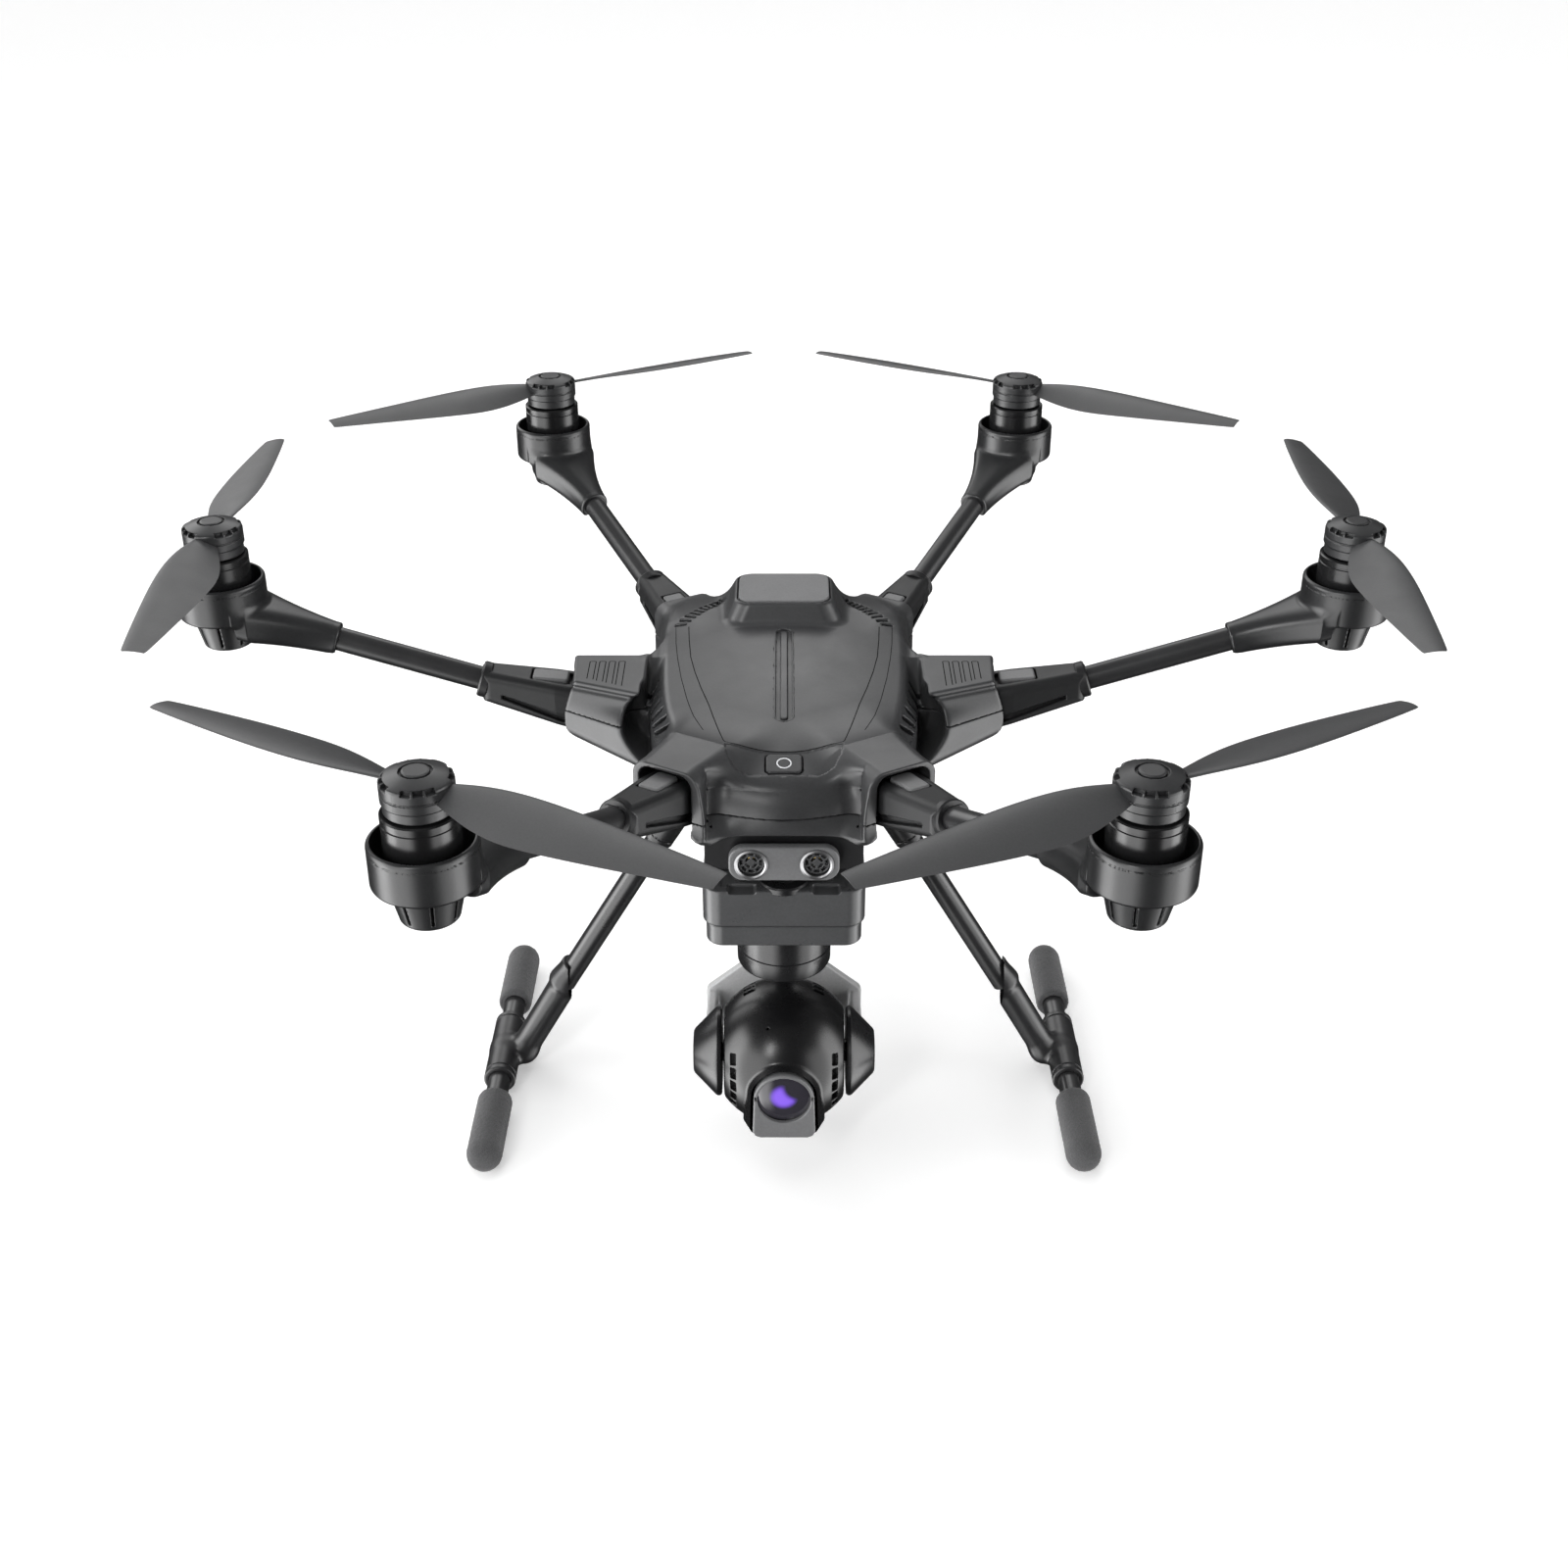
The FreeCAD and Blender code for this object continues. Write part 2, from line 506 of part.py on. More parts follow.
def sonar_cells():
    """Two ultrasonic transducers: rimmed can with a slotted face."""
    made = []
    for x in (-SONAR_X, SONAR_X):
        can = rod(6.6, (x, SONAR_Y - 7.6, SONAR_Z), (x, SONAR_Y - 0.8, SONAR_Z))
        can = can.cut(rod(5.4, (x, SONAR_Y - 9, SONAR_Z), (x, SONAR_Y - 5.6, SONAR_Z)))
        for radius, count, width in ((3.9, 8, 1.0), (1.9, 4, 0.8)):
            for i in range(count):
                hole = box(radius - width / 2, radius + width / 2, -0.55, 0.55, -1, 1)
                hole.rotate(V(0, 0, 0), UP, 360 * i / count)
                hole.rotate(V(0, 0, 0), V(1, 0, 0), 90)
                hole.translate(V(x, SONAR_Y - 5.6, SONAR_Z))
                can = can.cut(hole)
        made.append(can)
    return made


# ------------------------------------------------------------------ legs
def leg_point(distance, side):
    """Point on the strut axis, side is -1 for the right leg."""
    a = math.radians(LEG_ANGLE)
    return (side * (LEG_X + distance * math.cos(a)), 0, LEG_Z - distance * math.sin(a))


def leg_brackets():
    """Clevis ears bolted to the belly sides, and the retract pins through them."""
    made = []
    for side in (-1, 1):
        x0 = side * BELLY[2]
        plate = box(min(x0, x0 + side * 3), max(x0, x0 + side * 3), -15, 15, BELLY[3], 174)
        ears = []
        for y in (-12.4, 8.4):
            ear = rod(7.0, (side * LEG_X, y, LEG_Z), (side * LEG_X, y + 4, LEG_Z))
            arm = prism([(x0, y, 163.5), (x0, y, 173), (side * (LEG_X + 6), y, LEG_Z + 3),
                         (side * (LEG_X - 5), y, LEG_Z - 5)], (0, 4, 0))
            ears += [ear, arm]
        whole = plate.fuse(ears).cut(box(-BELLY[2], BELLY[2], -60, 60, 100, 200)).cut(hull())
        whole = whole.cut(rod(PIN_R, (side * LEG_X, -20, LEG_Z), (side * LEG_X, 20, LEG_Z)))
        made.append(whole)
    return made


def leg_pins():
    return [rod(PIN_R, (side * LEG_X, -12.8, LEG_Z), (side * LEG_X, 12.8, LEG_Z)) for side in (-1, 1)]


def leg_tubes(side):
    strut = rod(LEG_R, leg_point(13, side), leg_point(STRUT_END, side))
    strut = strut.cut(rod(LEG_R - 1, leg_point(10, side), leg_point(STRUT_END + 2, side)))
    skid = rod(LEG_R, (side * SKID_X, -SKID_HALF, SKID_Z), (side * SKID_X, SKID_HALF, SKID_Z))
    skid = skid.cut(rod(LEG_R - 1, (side * SKID_X, -99, SKID_Z), (side * SKID_X, 99, SKID_Z)))
    return [strut, skid]


def leg_fittings(side):
    """Hinge hub at the top, and the collar with its bent socket at the foot."""
    pivot = (side * LEG_X, LEG_Z)
    hub = rod(LEG_HUB_R, (pivot[0], -LEG_HUB_HALF, LEG_Z), (pivot[0], LEG_HUB_HALF, LEG_Z))
    hub = hub.fuse(rod(7.2, leg_point(0, side), leg_point(24, side)))
    hub = hub.cut(rod(LEG_R, leg_point(13, side), leg_point(40, side)))
    hub = hub.cut(rod(PIN_R + PIN_CLEARANCE, (pivot[0], -20, LEG_Z), (pivot[0], 20, LEG_Z)))
    collar = rod(TEE_R, (side * SKID_X, -TEE_HALF, SKID_Z), (side * SKID_X, TEE_HALF, SKID_Z))
    end, foot = leg_point(STRUT_END, side), (side * (SKID_X - 9.5), 0, SKID_Z + 1.5)
    start = leg_point(STRUT_END - 12, side)
    elbow = rod(7.0, start, end).fuse(Part.makeSphere(7.0, V(*end))).fuse(rod(6.6, end, foot))
    elbow = elbow.fuse(Part.makeSphere(6.6, V(*foot))).fuse(rod(6.6, foot, (side * SKID_X, 0, SKID_Z)))
    tee = collar.fuse(elbow)
    tee = tee.cut(rod(LEG_R, (side * SKID_X, -90, SKID_Z), (side * SKID_X, 90, SKID_Z)))
    tee = tee.cut(rod(LEG_R, leg_point(80, side), end))
    return [hub, tee]


def foam_grips(side):
    made = []
    for along in (-1, 1):
        a, b = along * FOAM_IN_Y, along * FOAM_OUT_Y
        grip = rod(FOAM_R, (side * SKID_X, min(a, b), SKID_Z), (side * SKID_X, max(a, b), SKID_Z))
        outer_end = lambda e: abs(abs(e.BoundBox.Center.y) - FOAM_OUT_Y) < 0.1
        grip = soften(grip, 6.5, outer_end)
        grip = soften(grip, 1.5, lambda e: abs(abs(e.BoundBox.Center.y) - FOAM_IN_Y) < 0.1)
        inside = along * SKID_HALF
        hole = rod(LEG_R, (side * SKID_X, min(a, inside) - (1 if along > 0 else 0), SKID_Z),
                   (side * SKID_X, max(a, inside) + (1 if along < 0 else 0), SKID_Z))
        made.append(grip.cut(hole).cut(box(-300, 300, -300, 300, -10, 0)))
    return made


# ------------------------------------------------------------------ gimbal
def gimbal_mount():
    """Damped tray under the belly: top block, stepped lower cover, four damper posts up to the belly."""
    y0, y1, half, z0, z1 = TRAY
    top = soften(box(-half, half, y0, y1, z0 + 11, z1), 8.0, upright)
    low = soften(box(-half + 1.6, half - 1.6, y0 + 1.6, y1 - 1.6, z0, z0 + 11.2), 7.0, upright)
    low = soften(low, 2.5, lambda e: e.BoundBox.ZMax < z0 + 0.1)
    hole = Part.makeCylinder(YAW_SHAFT_R + PIN_CLEARANCE, 40, V(0, YAW_Y, z0 - 5))
    return top.fuse(low).cut(hole)


def gimbal_dampers():
    """Four soft balls between tray and belly."""
    z0, z1 = TRAY[4], BELLY[3]
    return [rod(3.6, (x, y, z0), (x, y, z1)) for x in (-18, 18) for y in (-74, -26)]


def yaw_arm():
    """Yaw motor and the arm that drops behind the camera to the roll motor."""
    motor = revolve([(0, YAW_Y, YAW_Z0), (YAW_R - 2, YAW_Y, YAW_Z0), (YAW_R, YAW_Y, YAW_Z0 + 2),
                     (YAW_R, YAW_Y, YAW_Z0 + 8.6), (YAW_R - 0.5, YAW_Y, YAW_Z0 + 8.8),
                     (YAW_R - 0.5, YAW_Y, YAW_Z0 + 9.4), (YAW_R, YAW_Y, YAW_Z0 + 9.6),
                     (YAW_R, YAW_Y, TRAY[3] - 0.3), (0, YAW_Y, TRAY[3] - 0.3)], (0, YAW_Y, 0))
    shaft = Part.makeCylinder(YAW_SHAFT_R, 14, V(0, YAW_Y, TRAY[3] - 1))
    back = 12.0
    side = [(-10, YAW_Y, YAW_Z0), (-10, YAW_Y, YAW_Z0 + 5), (-10, back - 4, YAW_Z0 + 5), (-10, back, YAW_Z0 - 1),
            (-10, back, CAM_Z), (-10, back - 5, CAM_Z), (-10, back - 5, YAW_Z0 - 4), (-10, back - 9, YAW_Z0)]
    arm = prism(side, (20, 0, 0))
    roll = rod(ROLL_R, (0, YOKE_Y1 + 0.6, CAM_Z), (0, back + 1.5, CAM_Z))
    roll = soften(roll, 2.0, lambda e: e.BoundBox.YMin > back + 1)
    whole = motor.fuse([shaft, arm, roll])
    return whole.cut(rod(4.06, (0, YOKE_Y1 - 5, CAM_Z), (0, 6, CAM_Z)))


def roll_yoke():
    """Yoke that hangs from the roll motor and carries the camera between two tapered side motors."""
    top, shoulder = 69.0, 54.8
    outline = [(-18.5, top), (18.5, top), (36, shoulder), (36, CAM_Z - 9), (30, CAM_Z - 14), (-30, CAM_Z - 14),
               (-36, CAM_Z - 9), (-36, shoulder)]
    plate = prism([(x, YOKE_Y0, z) for x, z in outline], (0, YOKE_Y1 - YOKE_Y0, 0))
    shaft = rod(4.0, (0, YOKE_Y1 - 1, CAM_Z), (0, 5.5, CAM_Z))
    pieces = [shaft]
    for side in (-1, 1):
        cone = Part.makeCone(CAP_IN_R, CAP_OUT_R, CAP_OUT_X - CAP_IN_X, V(side * CAP_IN_X, YAW_Y, CAM_Z), V(side, 0, 0))
        x0, x1 = sorted((side * 31.0, side * 36.0))
        arm = box(x0, x1, YAW_Y, YOKE_Y1, CAM_Z - 9, CAM_Z + 8)
        axle = rod(5.0, (side * (BALL_HALF - 3), YAW_Y, CAM_Z), (side * (CAP_IN_X + 1), YAW_Y, CAM_Z))
        pieces += [cone, arm, axle]
    return plate.fuse(pieces)


def camera_parts():
    """Camera head: ball trimmed flat at the sides, square-jawed lens bezel, and the glass."""
    ball = Part.makeSphere(BALL_R, V(0, YAW_Y, CAM_Z))
    ball = ball.common(box(-BALL_HALF, BALL_HALF, -200, 100, -50, 200))
    neck_front = HOOD_FRONT_Y + 5
    barrel = rod(17.6, (0, YAW_Y - 15, LENS_AXIS_Z), (0, neck_front - 1, LENS_AXIS_Z))
    arch = rod(HOOD_HALF, (0, YAW_Y - 20, LENS_AXIS_Z), (0, HOOD_FRONT_Y, LENS_AXIS_Z))
    jaw = box(-HOOD_HALF, HOOD_HALF, HOOD_FRONT_Y, YAW_Y - 20, JAW_Z, LENS_AXIS_Z)
    jaw = soften(jaw, 4.0, lambda e: abs(e.tangentAt(e.FirstParameter).y) > 0.9 and e.BoundBox.ZMax < JAW_Z + 1)
    head = ball.fuse([barrel, arch, jaw])
    head = head.cut(rod(11.6, (0, HOOD_FRONT_Y - 5, LENS_AXIS_Z), (0, HOOD_FRONT_Y + 7, LENS_AXIS_Z)))
    head = head.cut(rod(5.06, (-60, YAW_Y, CAM_Z), (60, YAW_Y, CAM_Z)))
    seat = HOOD_FRONT_Y + 7
    glass = rod(11.6, (0, seat - 3.0, LENS_AXIS_Z), (0, seat, LENS_AXIS_Z))
    dome = Part.makeSphere(16.0, V(0, seat - 3.0 + 11.5, LENS_AXIS_Z))
    dome = dome.common(rod(11.0, (0, seat - 9, LENS_AXIS_Z), (0, seat - 2.9, LENS_AXIS_Z)))
    return head, glass.fuse(dome)


# ------------------------------------------------------------------ every node
def main():
    os.makedirs("parts", exist_ok=True)
    tube, root, tab, pod, core = arm_tube(), knuckle(), latch_tab(), motor_pod(), stator()
    bell, prop = motor_bell(), propeller()
    mirrored = prop.mirror(V(0, 0, 0), V(0, 1, 0))
    pin = rod(PIN_R, (FOLD_S, -SLEEVE_HALF + 0.2, FOLD_Z), (FOLD_S, SLEEVE_HALF - 0.2, FOLD_Z))
    for arm in ARMS:
        save(f"arm_tube_{arm}", placed(tube, arm))
        save(f"arm_knuckle_{arm}", placed(root, arm))
        save(f"arm_latch_{arm}", placed(tab, arm))
        save(f"motor_pod_{arm}", placed(pod, arm), placed(core, arm))
        save(f"motor_bell_{arm}", placed(bell, arm))
        save(f"propeller_{arm}", placed(mirrored if arm in CLOCKWISE else prop, arm))
    upper, lower = shells()
    save("upper_shell", upper)
    save("lower_shell", lower)
    save("antenna_lid", lid_plate())
    save("spine_trim", spine_trim())
    save("body_screws", *body_screws())
    save("power_button", power_button())
    save("sonar_bezel", sonar_bezel())
    save("sonar_transducers", *sonar_cells())
    save("main_board", main_board())
    save("battery_pack", battery())
    save("hinge_pins", *[placed(pin, arm) for arm in ARMS], *leg_pins())
    save("leg_brackets", *leg_brackets())
    for name, side in (("right", -1), ("left", 1)):
        save(f"{name}_leg_tubes", *leg_tubes(side))
        save(f"{name}_leg_fittings", *leg_fittings(side))
        save(f"{name}_foam_grips", *foam_grips(side))
    save("gimbal_mount", gimbal_mount())
    save("gimbal_dampers", *gimbal_dampers())
    save("gimbal_yaw_arm", yaw_arm())
    save("gimbal_roll_yoke", roll_yoke())
    head, glass = camera_parts()
    save("camera_head", head)
    save("camera_lens", glass)


main()
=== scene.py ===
"""Looks of the folding hexacopter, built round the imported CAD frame.

Moulded parts are signed-distance fields turned into meshes, and round parts are lathed profiles.
Sizes are in mm. +Z is up, the nose faces -Y and the machine's left is +X.
Arm coordinates are s outwards, t across the arm and z.
"""
import math
import bmesh
import bpy
import numpy as np
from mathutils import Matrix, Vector


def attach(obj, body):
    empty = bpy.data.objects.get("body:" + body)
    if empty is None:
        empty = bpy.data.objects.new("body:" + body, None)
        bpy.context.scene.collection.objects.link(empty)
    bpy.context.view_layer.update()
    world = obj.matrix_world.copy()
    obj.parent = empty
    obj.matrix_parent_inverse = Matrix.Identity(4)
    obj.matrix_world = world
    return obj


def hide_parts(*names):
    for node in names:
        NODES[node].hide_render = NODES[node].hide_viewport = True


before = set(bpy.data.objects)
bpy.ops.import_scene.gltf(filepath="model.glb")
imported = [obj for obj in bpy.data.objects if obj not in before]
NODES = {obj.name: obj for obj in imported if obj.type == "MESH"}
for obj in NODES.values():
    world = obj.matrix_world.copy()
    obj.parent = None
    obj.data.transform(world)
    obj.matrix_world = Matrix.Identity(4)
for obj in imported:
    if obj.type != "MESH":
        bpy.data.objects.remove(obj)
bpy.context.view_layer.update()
MM = 0.001
SIDES = ((1, "left"), (-1, "right"))

# ------------------------------------------------------------------ driving sizes, shared with the CAD
ARMS = {    # azimuth in degrees, then the shift of the arm's own frame in x and y
    "front_right": (240.0, 0.0, 0.0), "front_left": (300.0, 0.0, 0.0),
    "mid_right": (180.0, -2.5, 9.0), "mid_left": (0.0, 2.5, 9.0),
    "rear_right": (120.0, 0.0, 0.0), "rear_left": (60.0, 0.0, 0.0),
}
CORNERS = [a for a in ARMS if not a.startswith("mid")]
CLOCKWISE = ("front_left", "mid_right", "rear_right")
ROTOR = 240.0                           # rotor axis along s
SLOPE = math.radians(17.5)              # arm tubes rise outwards
TUBE_S, TUBE_Z = 128.0, 205.5           # a point on the arm tube's axis
TUBE_R, TUBE_BORE = 5.2, 4.2
FOLD_S, FOLD_Z, PIN_BORE = 84.0, 190.0, 2.56
BATTERY_Y, BATTERY_Z = 40.75, 195.3     # middle of the battery
LEG_X, LEG_Z = 45.0, 150.5              # leg hinge, along y
LEG_ANGLE = math.radians(59.5)
SKID_X, SKID_Z = 136.0, 8.0
CAM = np.array([0, -50.0, 46.5])        # where the gimbal's roll and pitch axes meet
LENS_Z, HOOD_Y = 45.8, -86.0
SONAR_X, SONAR_Y, SONAR_Z = 13.4, -90.5, 171.4


def detail(full):
    return full


def arm_frame(arm):
    """Rotation matrix and shift that take arm coordinates to the row frame."""
    azimuth, x, y = ARMS[arm]
    a = math.radians(azimuth)
    turn = np.array([[math.cos(a), -math.sin(a), 0], [math.sin(a), math.cos(a), 0], [0, 0, 1.0]])
    return turn, np.array([x, y, 0.0])


def to_arm(p, arm):
    turn, shift = arm_frame(arm)
    return (p - shift) @ turn


def from_arm(p, arm):
    turn, shift = arm_frame(arm)
    return p @ turn.T + shift


def tube_point(s):
    """Point on the arm tube's axis."""
    return np.array([s, 0, TUBE_Z + (s - TUBE_S) * math.tan(SLOPE)])


# ------------------------------------------------------------------ distance fields
def smin(a, b, k):
    """The nearer of two distances, blended over k."""
    h = np.clip(0.5 + 0.5 * (b - a) / k, 0, 1)
    return b + (a - b) * h - k * h * (1 - h)


def smax(a, b, k):
    return -smin(-a, -b, k)


def carve(a, b, k=0.4):
    """a with b taken away."""
    return smax(a, -b, k)


def band(value, half, middle=0.0):
    """Negative within half of the middle."""
    return np.abs(value - middle) - half


def smooth(t):
    """S-shaped step for t from 0 to 1."""
    return t * t * (3 - 2 * t)


def rbox(p, centre, half, r):
    q = np.abs(p - np.array(centre)) - (np.array(half) - r)
    return np.linalg.norm(np.maximum(q, 0), axis=1) + np.minimum(q.max(1), 0) - r


def corner(d1, d2, r):
    """Solid where both distances are negative, its edge rounded to radius r."""
    a, b = d1 + r, d2 + r
    return np.minimum(np.maximum(a, b), 0) + np.hypot(np.maximum(a, 0), np.maximum(b, 0)) - r


def rod(p, a, b, ra, rb=None, r=0.3):
    """Cylinder or cone from a to b with softened rims."""
    a, b = np.array(a, float), np.array(b, float)
    rb = ra if rb is None else rb
    span = b - a
    long = np.linalg.norm(span)
    u = (p - a) @ (span / long)
    radial = np.linalg.norm(p - a - u[:, None] * (span / long), axis=1)
    lean = math.hypot(1, (rb - ra) / long)
    side = (radial - ra - (rb - ra) * u / long) / lean
    return corner(side, band(u, long / 2, long / 2), r)


def capsule(p, a, b, ra, rb):
    """Round-ended rod whose radius goes from ra to rb."""
    a, b = np.array(a, float), np.array(b, float)
    span = b - a
    h = np.clip((p - a) @ span / (span @ span), 0, 1)
    return np.linalg.norm(p - a - h[:, None] * span, axis=1) - (ra + (rb - ra) * h)


def polygon(u, v, points):
    """Signed distance to a closed polygon in the u, v plane."""
    best = np.full(u.shape, 1e9)
    inside = np.zeros(u.shape, bool)
    for (x0, y0), (x1, y1) in zip(points, points[1:] + points[:1]):
        ex, ey = x1 - x0, y1 - y0
        h = np.clip(((u - x0) * ex + (v - y0) * ey) / (ex * ex + ey * ey), 0, 1)
        best = np.minimum(best, (u - x0 - ex * h) ** 2 + (v - y0 - ey * h) ** 2)
        if ey:
            inside ^= ((y0 > v) != (y1 > v)) & (u < ex * (v - y0) / ey + x0)
    return np.sqrt(best) * np.where(inside, -1, 1)


def around(angle, radius, count, offset=0.0):
    """Distance along the circle to the nearest of count equal divisions."""
    turn = 2 * math.pi / count
    return (np.mod(angle + offset + turn / 2, turn) - turn / 2) * radius


def spline(x, xs, ys):
    """Natural cubic through the points, held flat outside them."""
    xs, ys = np.array(xs, float), np.array(ys, float)
    n = len(xs)
    h = np.diff(xs)
    m = np.zeros((n, n))
    rhs = np.zeros(n)
    m[0, 0] = m[-1, -1] = 1
    for i in range(1, n - 1):
        m[i, i - 1:i + 2] = h[i - 1], 2 * (h[i - 1] + h[i]), h[i]
        rhs[i] = 3 * ((ys[i + 1] - ys[i]) / h[i] - (ys[i] - ys[i - 1]) / h[i - 1])
    c = np.linalg.solve(m, rhs)
    x = np.clip(x, xs[0], xs[-1])
    i = np.clip(np.searchsorted(xs, x) - 1, 0, n - 2)
    b = (ys[i + 1] - ys[i]) / h[i] - h[i] * (2 * c[i] + c[i + 1]) / 3
    d = (c[i + 1] - c[i]) / (3 * h[i])
    t = x - xs[i]
    return ys[i] + b * t + c[i] * t * t + d * t ** 3


def table(rows, x):
    """Curve through rows of (x, value)."""
    return spline(x, *zip(*rows))


# ------------------------------------------------------------------ field to mesh
CUBE = np.array([[i, j, k] for i in (0, 1) for j in (0, 1) for k in (0, 1)])
CUBE_EDGES = [(a, b) for a in range(8) for b in range(a + 1, 8) if np.abs(CUBE[a] - CUBE[b]).sum() == 1]
HALVINGS = 3
NEAR = 1.15         # cells whose middle is within this many cell sizes of the surface are kept


def gradient(field, p, e):
    g = np.zeros_like(p)
    for i in range(3):
        d = np.zeros(3)
        d[i] = e
        g[:, i] = field(p + d) - field(p - d)
    return g / (2 * e)


def unit(v):
    return v / np.maximum(np.linalg.norm(v, axis=1, keepdims=True), 1e-9)


def capped(moves, longest):
    """Moves shortened to at most the longest allowed."""
    length = np.linalg.norm(moves, axis=1, keepdims=True)
    return moves * np.minimum(1, longest / np.maximum(length, 1e-9))


def sparse_cells(field, lo, n, size):
    """Cells near the zero level, each halved a few times."""
    cells = np.stack(np.meshgrid(*[np.arange(k) for k in n], indexing="ij"), -1).reshape(-1, 3)
    for _ in range(HALVINGS):
        near = np.abs(field(lo + (cells + 0.5) * size)) < size * NEAR
        cells = (cells[near][:, None, :] * 2 + CUBE).reshape(-1, 3)
        size /= 2
    return cells


def cell_points(cells, v):
    """In each cell, the mean of the places where its edges cross the zero level."""
    total, count = np.zeros((len(cells), 3)), np.zeros((len(cells), 1))
    for a, b in CUBE_EDGES:
        crossed = (v[:, a] < 0) != (v[:, b] < 0)
        t = np.where(crossed, v[:, a] / np.where(crossed, v[:, a] - v[:, b], 1), 0)
        total += np.where(crossed[:, None], CUBE[a] + t[:, None] * (CUBE[b] - CUBE[a]), 0)
        count += crossed[:, None]
    return cells + total / count


def settle(field, points, step):
    """Points moved onto the field's zero level, none further than nearly one step."""
    start = points.copy()
    for _ in range(3):
        g = gradient(field, points, step * 0.1)
        move = -(field(points) / np.maximum((g * g).sum(1), 0.05))[:, None] * g
        points = points + capped(move, 0.4 * step)
    return start + capped(points - start, 0.9 * step)


def contour(field, lo, hi, step):
    """Sparse surface nets: points, quads and normals of the field's zero level inside a box."""
    lo, hi = np.array(lo, float), np.array(hi, float)
    coarse = step * 2 ** HALVINGS
    n = np.ceil((hi - lo) / coarse).astype(int)
    cells = sparse_cells(field, lo, n, coarse)
    dims = n * 2 ** HALVINGS + 2

    def key(c):
        return (c[:, 0] * dims[1] + c[:, 1]) * dims[2] + c[:, 2]

    corners = (cells[:, None, :] + CUBE).reshape(-1, 3)
    unique, inverse = np.unique(key(corners), return_inverse=True)
    spot = np.stack([unique // (dims[1] * dims[2]), unique // dims[2] % dims[1], unique % dims[2]], 1)
    v = field(lo + spot * step)[inverse.reshape(-1)].reshape(-1, 8)
    mixed = (v < 0).any(1) & (v >= 0).any(1)
    cells, v = cells[mixed], v[mixed]
    points = lo + cell_points(cells, v) * step
    keys = key(cells)
    order = np.argsort(keys)
    ranked = keys[order]

    def find(c):
        k = key(c)
        at = np.clip(np.searchsorted(ranked, k), 0, len(ranked) - 1)
        return np.where(ranked[at] == k, order[at], -1)

    quads = []
    for axis in range(3):
        b, c = np.eye(3, dtype=int)[[(axis + 1) % 3, (axis + 2) % 3]]
        crossed = (v[:, 0] < 0) != (v[:, 4 >> axis] < 0)
        base = cells[crossed]
        ring = np.stack([find(base - b - c), find(base - c), find(base), find(base - b)], 1)
        flip = v[crossed][:, 0] >= 0
        ring[flip] = ring[flip][:, ::-1]
        quads.append(ring[(ring >= 0).all(1)])
    quads = np.concatenate(quads)
    used = np.unique(quads)
    new = np.full(len(points), -1)
    new[used] = np.arange(len(used))
    points = settle(field, points[used], step)
    return points, new[quads], unit(gradient(field, points, step * 0.35))


# ------------------------------------------------------------------ objects
def new_mesh(name, points, faces):
    mesh = bpy.data.meshes.new(name)
    mesh.from_pydata((points * MM).tolist(), [], faces)
    return mesh


def link(mesh, body, look, replaced=()):
    obj = bpy.data.objects.new(mesh.name, mesh)
    bpy.context.scene.collection.objects.link(obj)
    mesh.materials.append(M[look])
    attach(obj, body)
    if replaced:
        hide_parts(*replaced)
    return obj


def solid(name, made, body, look, replaced=(), arm=None):
    """Object from contour() output, optionally set on an arm."""
    points, quads, normals = made
    if arm:
        points, normals = from_arm(points, arm), normals @ arm_frame(arm)[0].T
    mesh = new_mesh(name, points, quads.tolist())
    mesh.polygons.foreach_set("use_smooth", np.ones(len(quads), bool))
    mesh.update()
    mesh.normals_split_custom_set_from_vertices(normals.tolist())
    return link(mesh, body, look, replaced)


def sharpen(mesh, angle=33.0):
    """Smooth shading with hard edges kept where faces meet steeply."""
    bm = bmesh.new()
    bm.from_mesh(mesh)
    bmesh.ops.recalc_face_normals(bm, faces=bm.faces)
    for face in bm.faces:
        face.smooth = True
    for edge in bm.edges:
        if len(edge.link_faces) == 2 and edge.calc_face_angle() > math.radians(angle):
            edge.smooth = False
    bm.to_mesh(mesh)
    bm.free()


def lathe(profile, start, axis, segments):
    """Points and faces of a profile (radius, distance along axis) turned about an axis from start.

    The profile runs from one point on the axis to another, or is closed when neither end touches it.
    """
    axis = np.array(axis, float)
    side = np.cross(axis, [0, 1.0, 0]) if abs(axis[1]) < 0.9 else np.cross(axis, [1.0, 0, 0])
    side /= np.linalg.norm(side)
    third = np.cross(axis, side)
    points, rings = [], []
    for r, h in profile:
        middle = np.array(start, float) + axis * h
        if r < 1e-6:
            rings.append([len(points)] * segments)
            points.append(middle)
            continue
        rings.append(list(range(len(points), len(points) + segments)))
        for k in range(segments):
            a = 2 * math.pi * k / segments
            points.append(middle + r * (math.cos(a) * side + math.sin(a) * third))
    if profile[0][0] > 1e-6:
        rings.append(rings[0])
    faces = []
    for a, b in zip(rings, rings[1:]):
        for k in range(segments):
            n = (k + 1) % segments
            faces.append(list(dict.fromkeys([a[k], a[n], b[n], b[k]])))
    return np.array(points), faces


def turned(name, profile, start, body, look, replaced=(), axis=(0, 0, 1), arm=None, segments=96):
    points, faces = lathe(profile, start, axis, segments)
    if arm:
        points = from_arm(points, arm)
    mesh = new_mesh(name, points, faces)
    sharpen(mesh)
    return link(mesh, body, look, replaced)


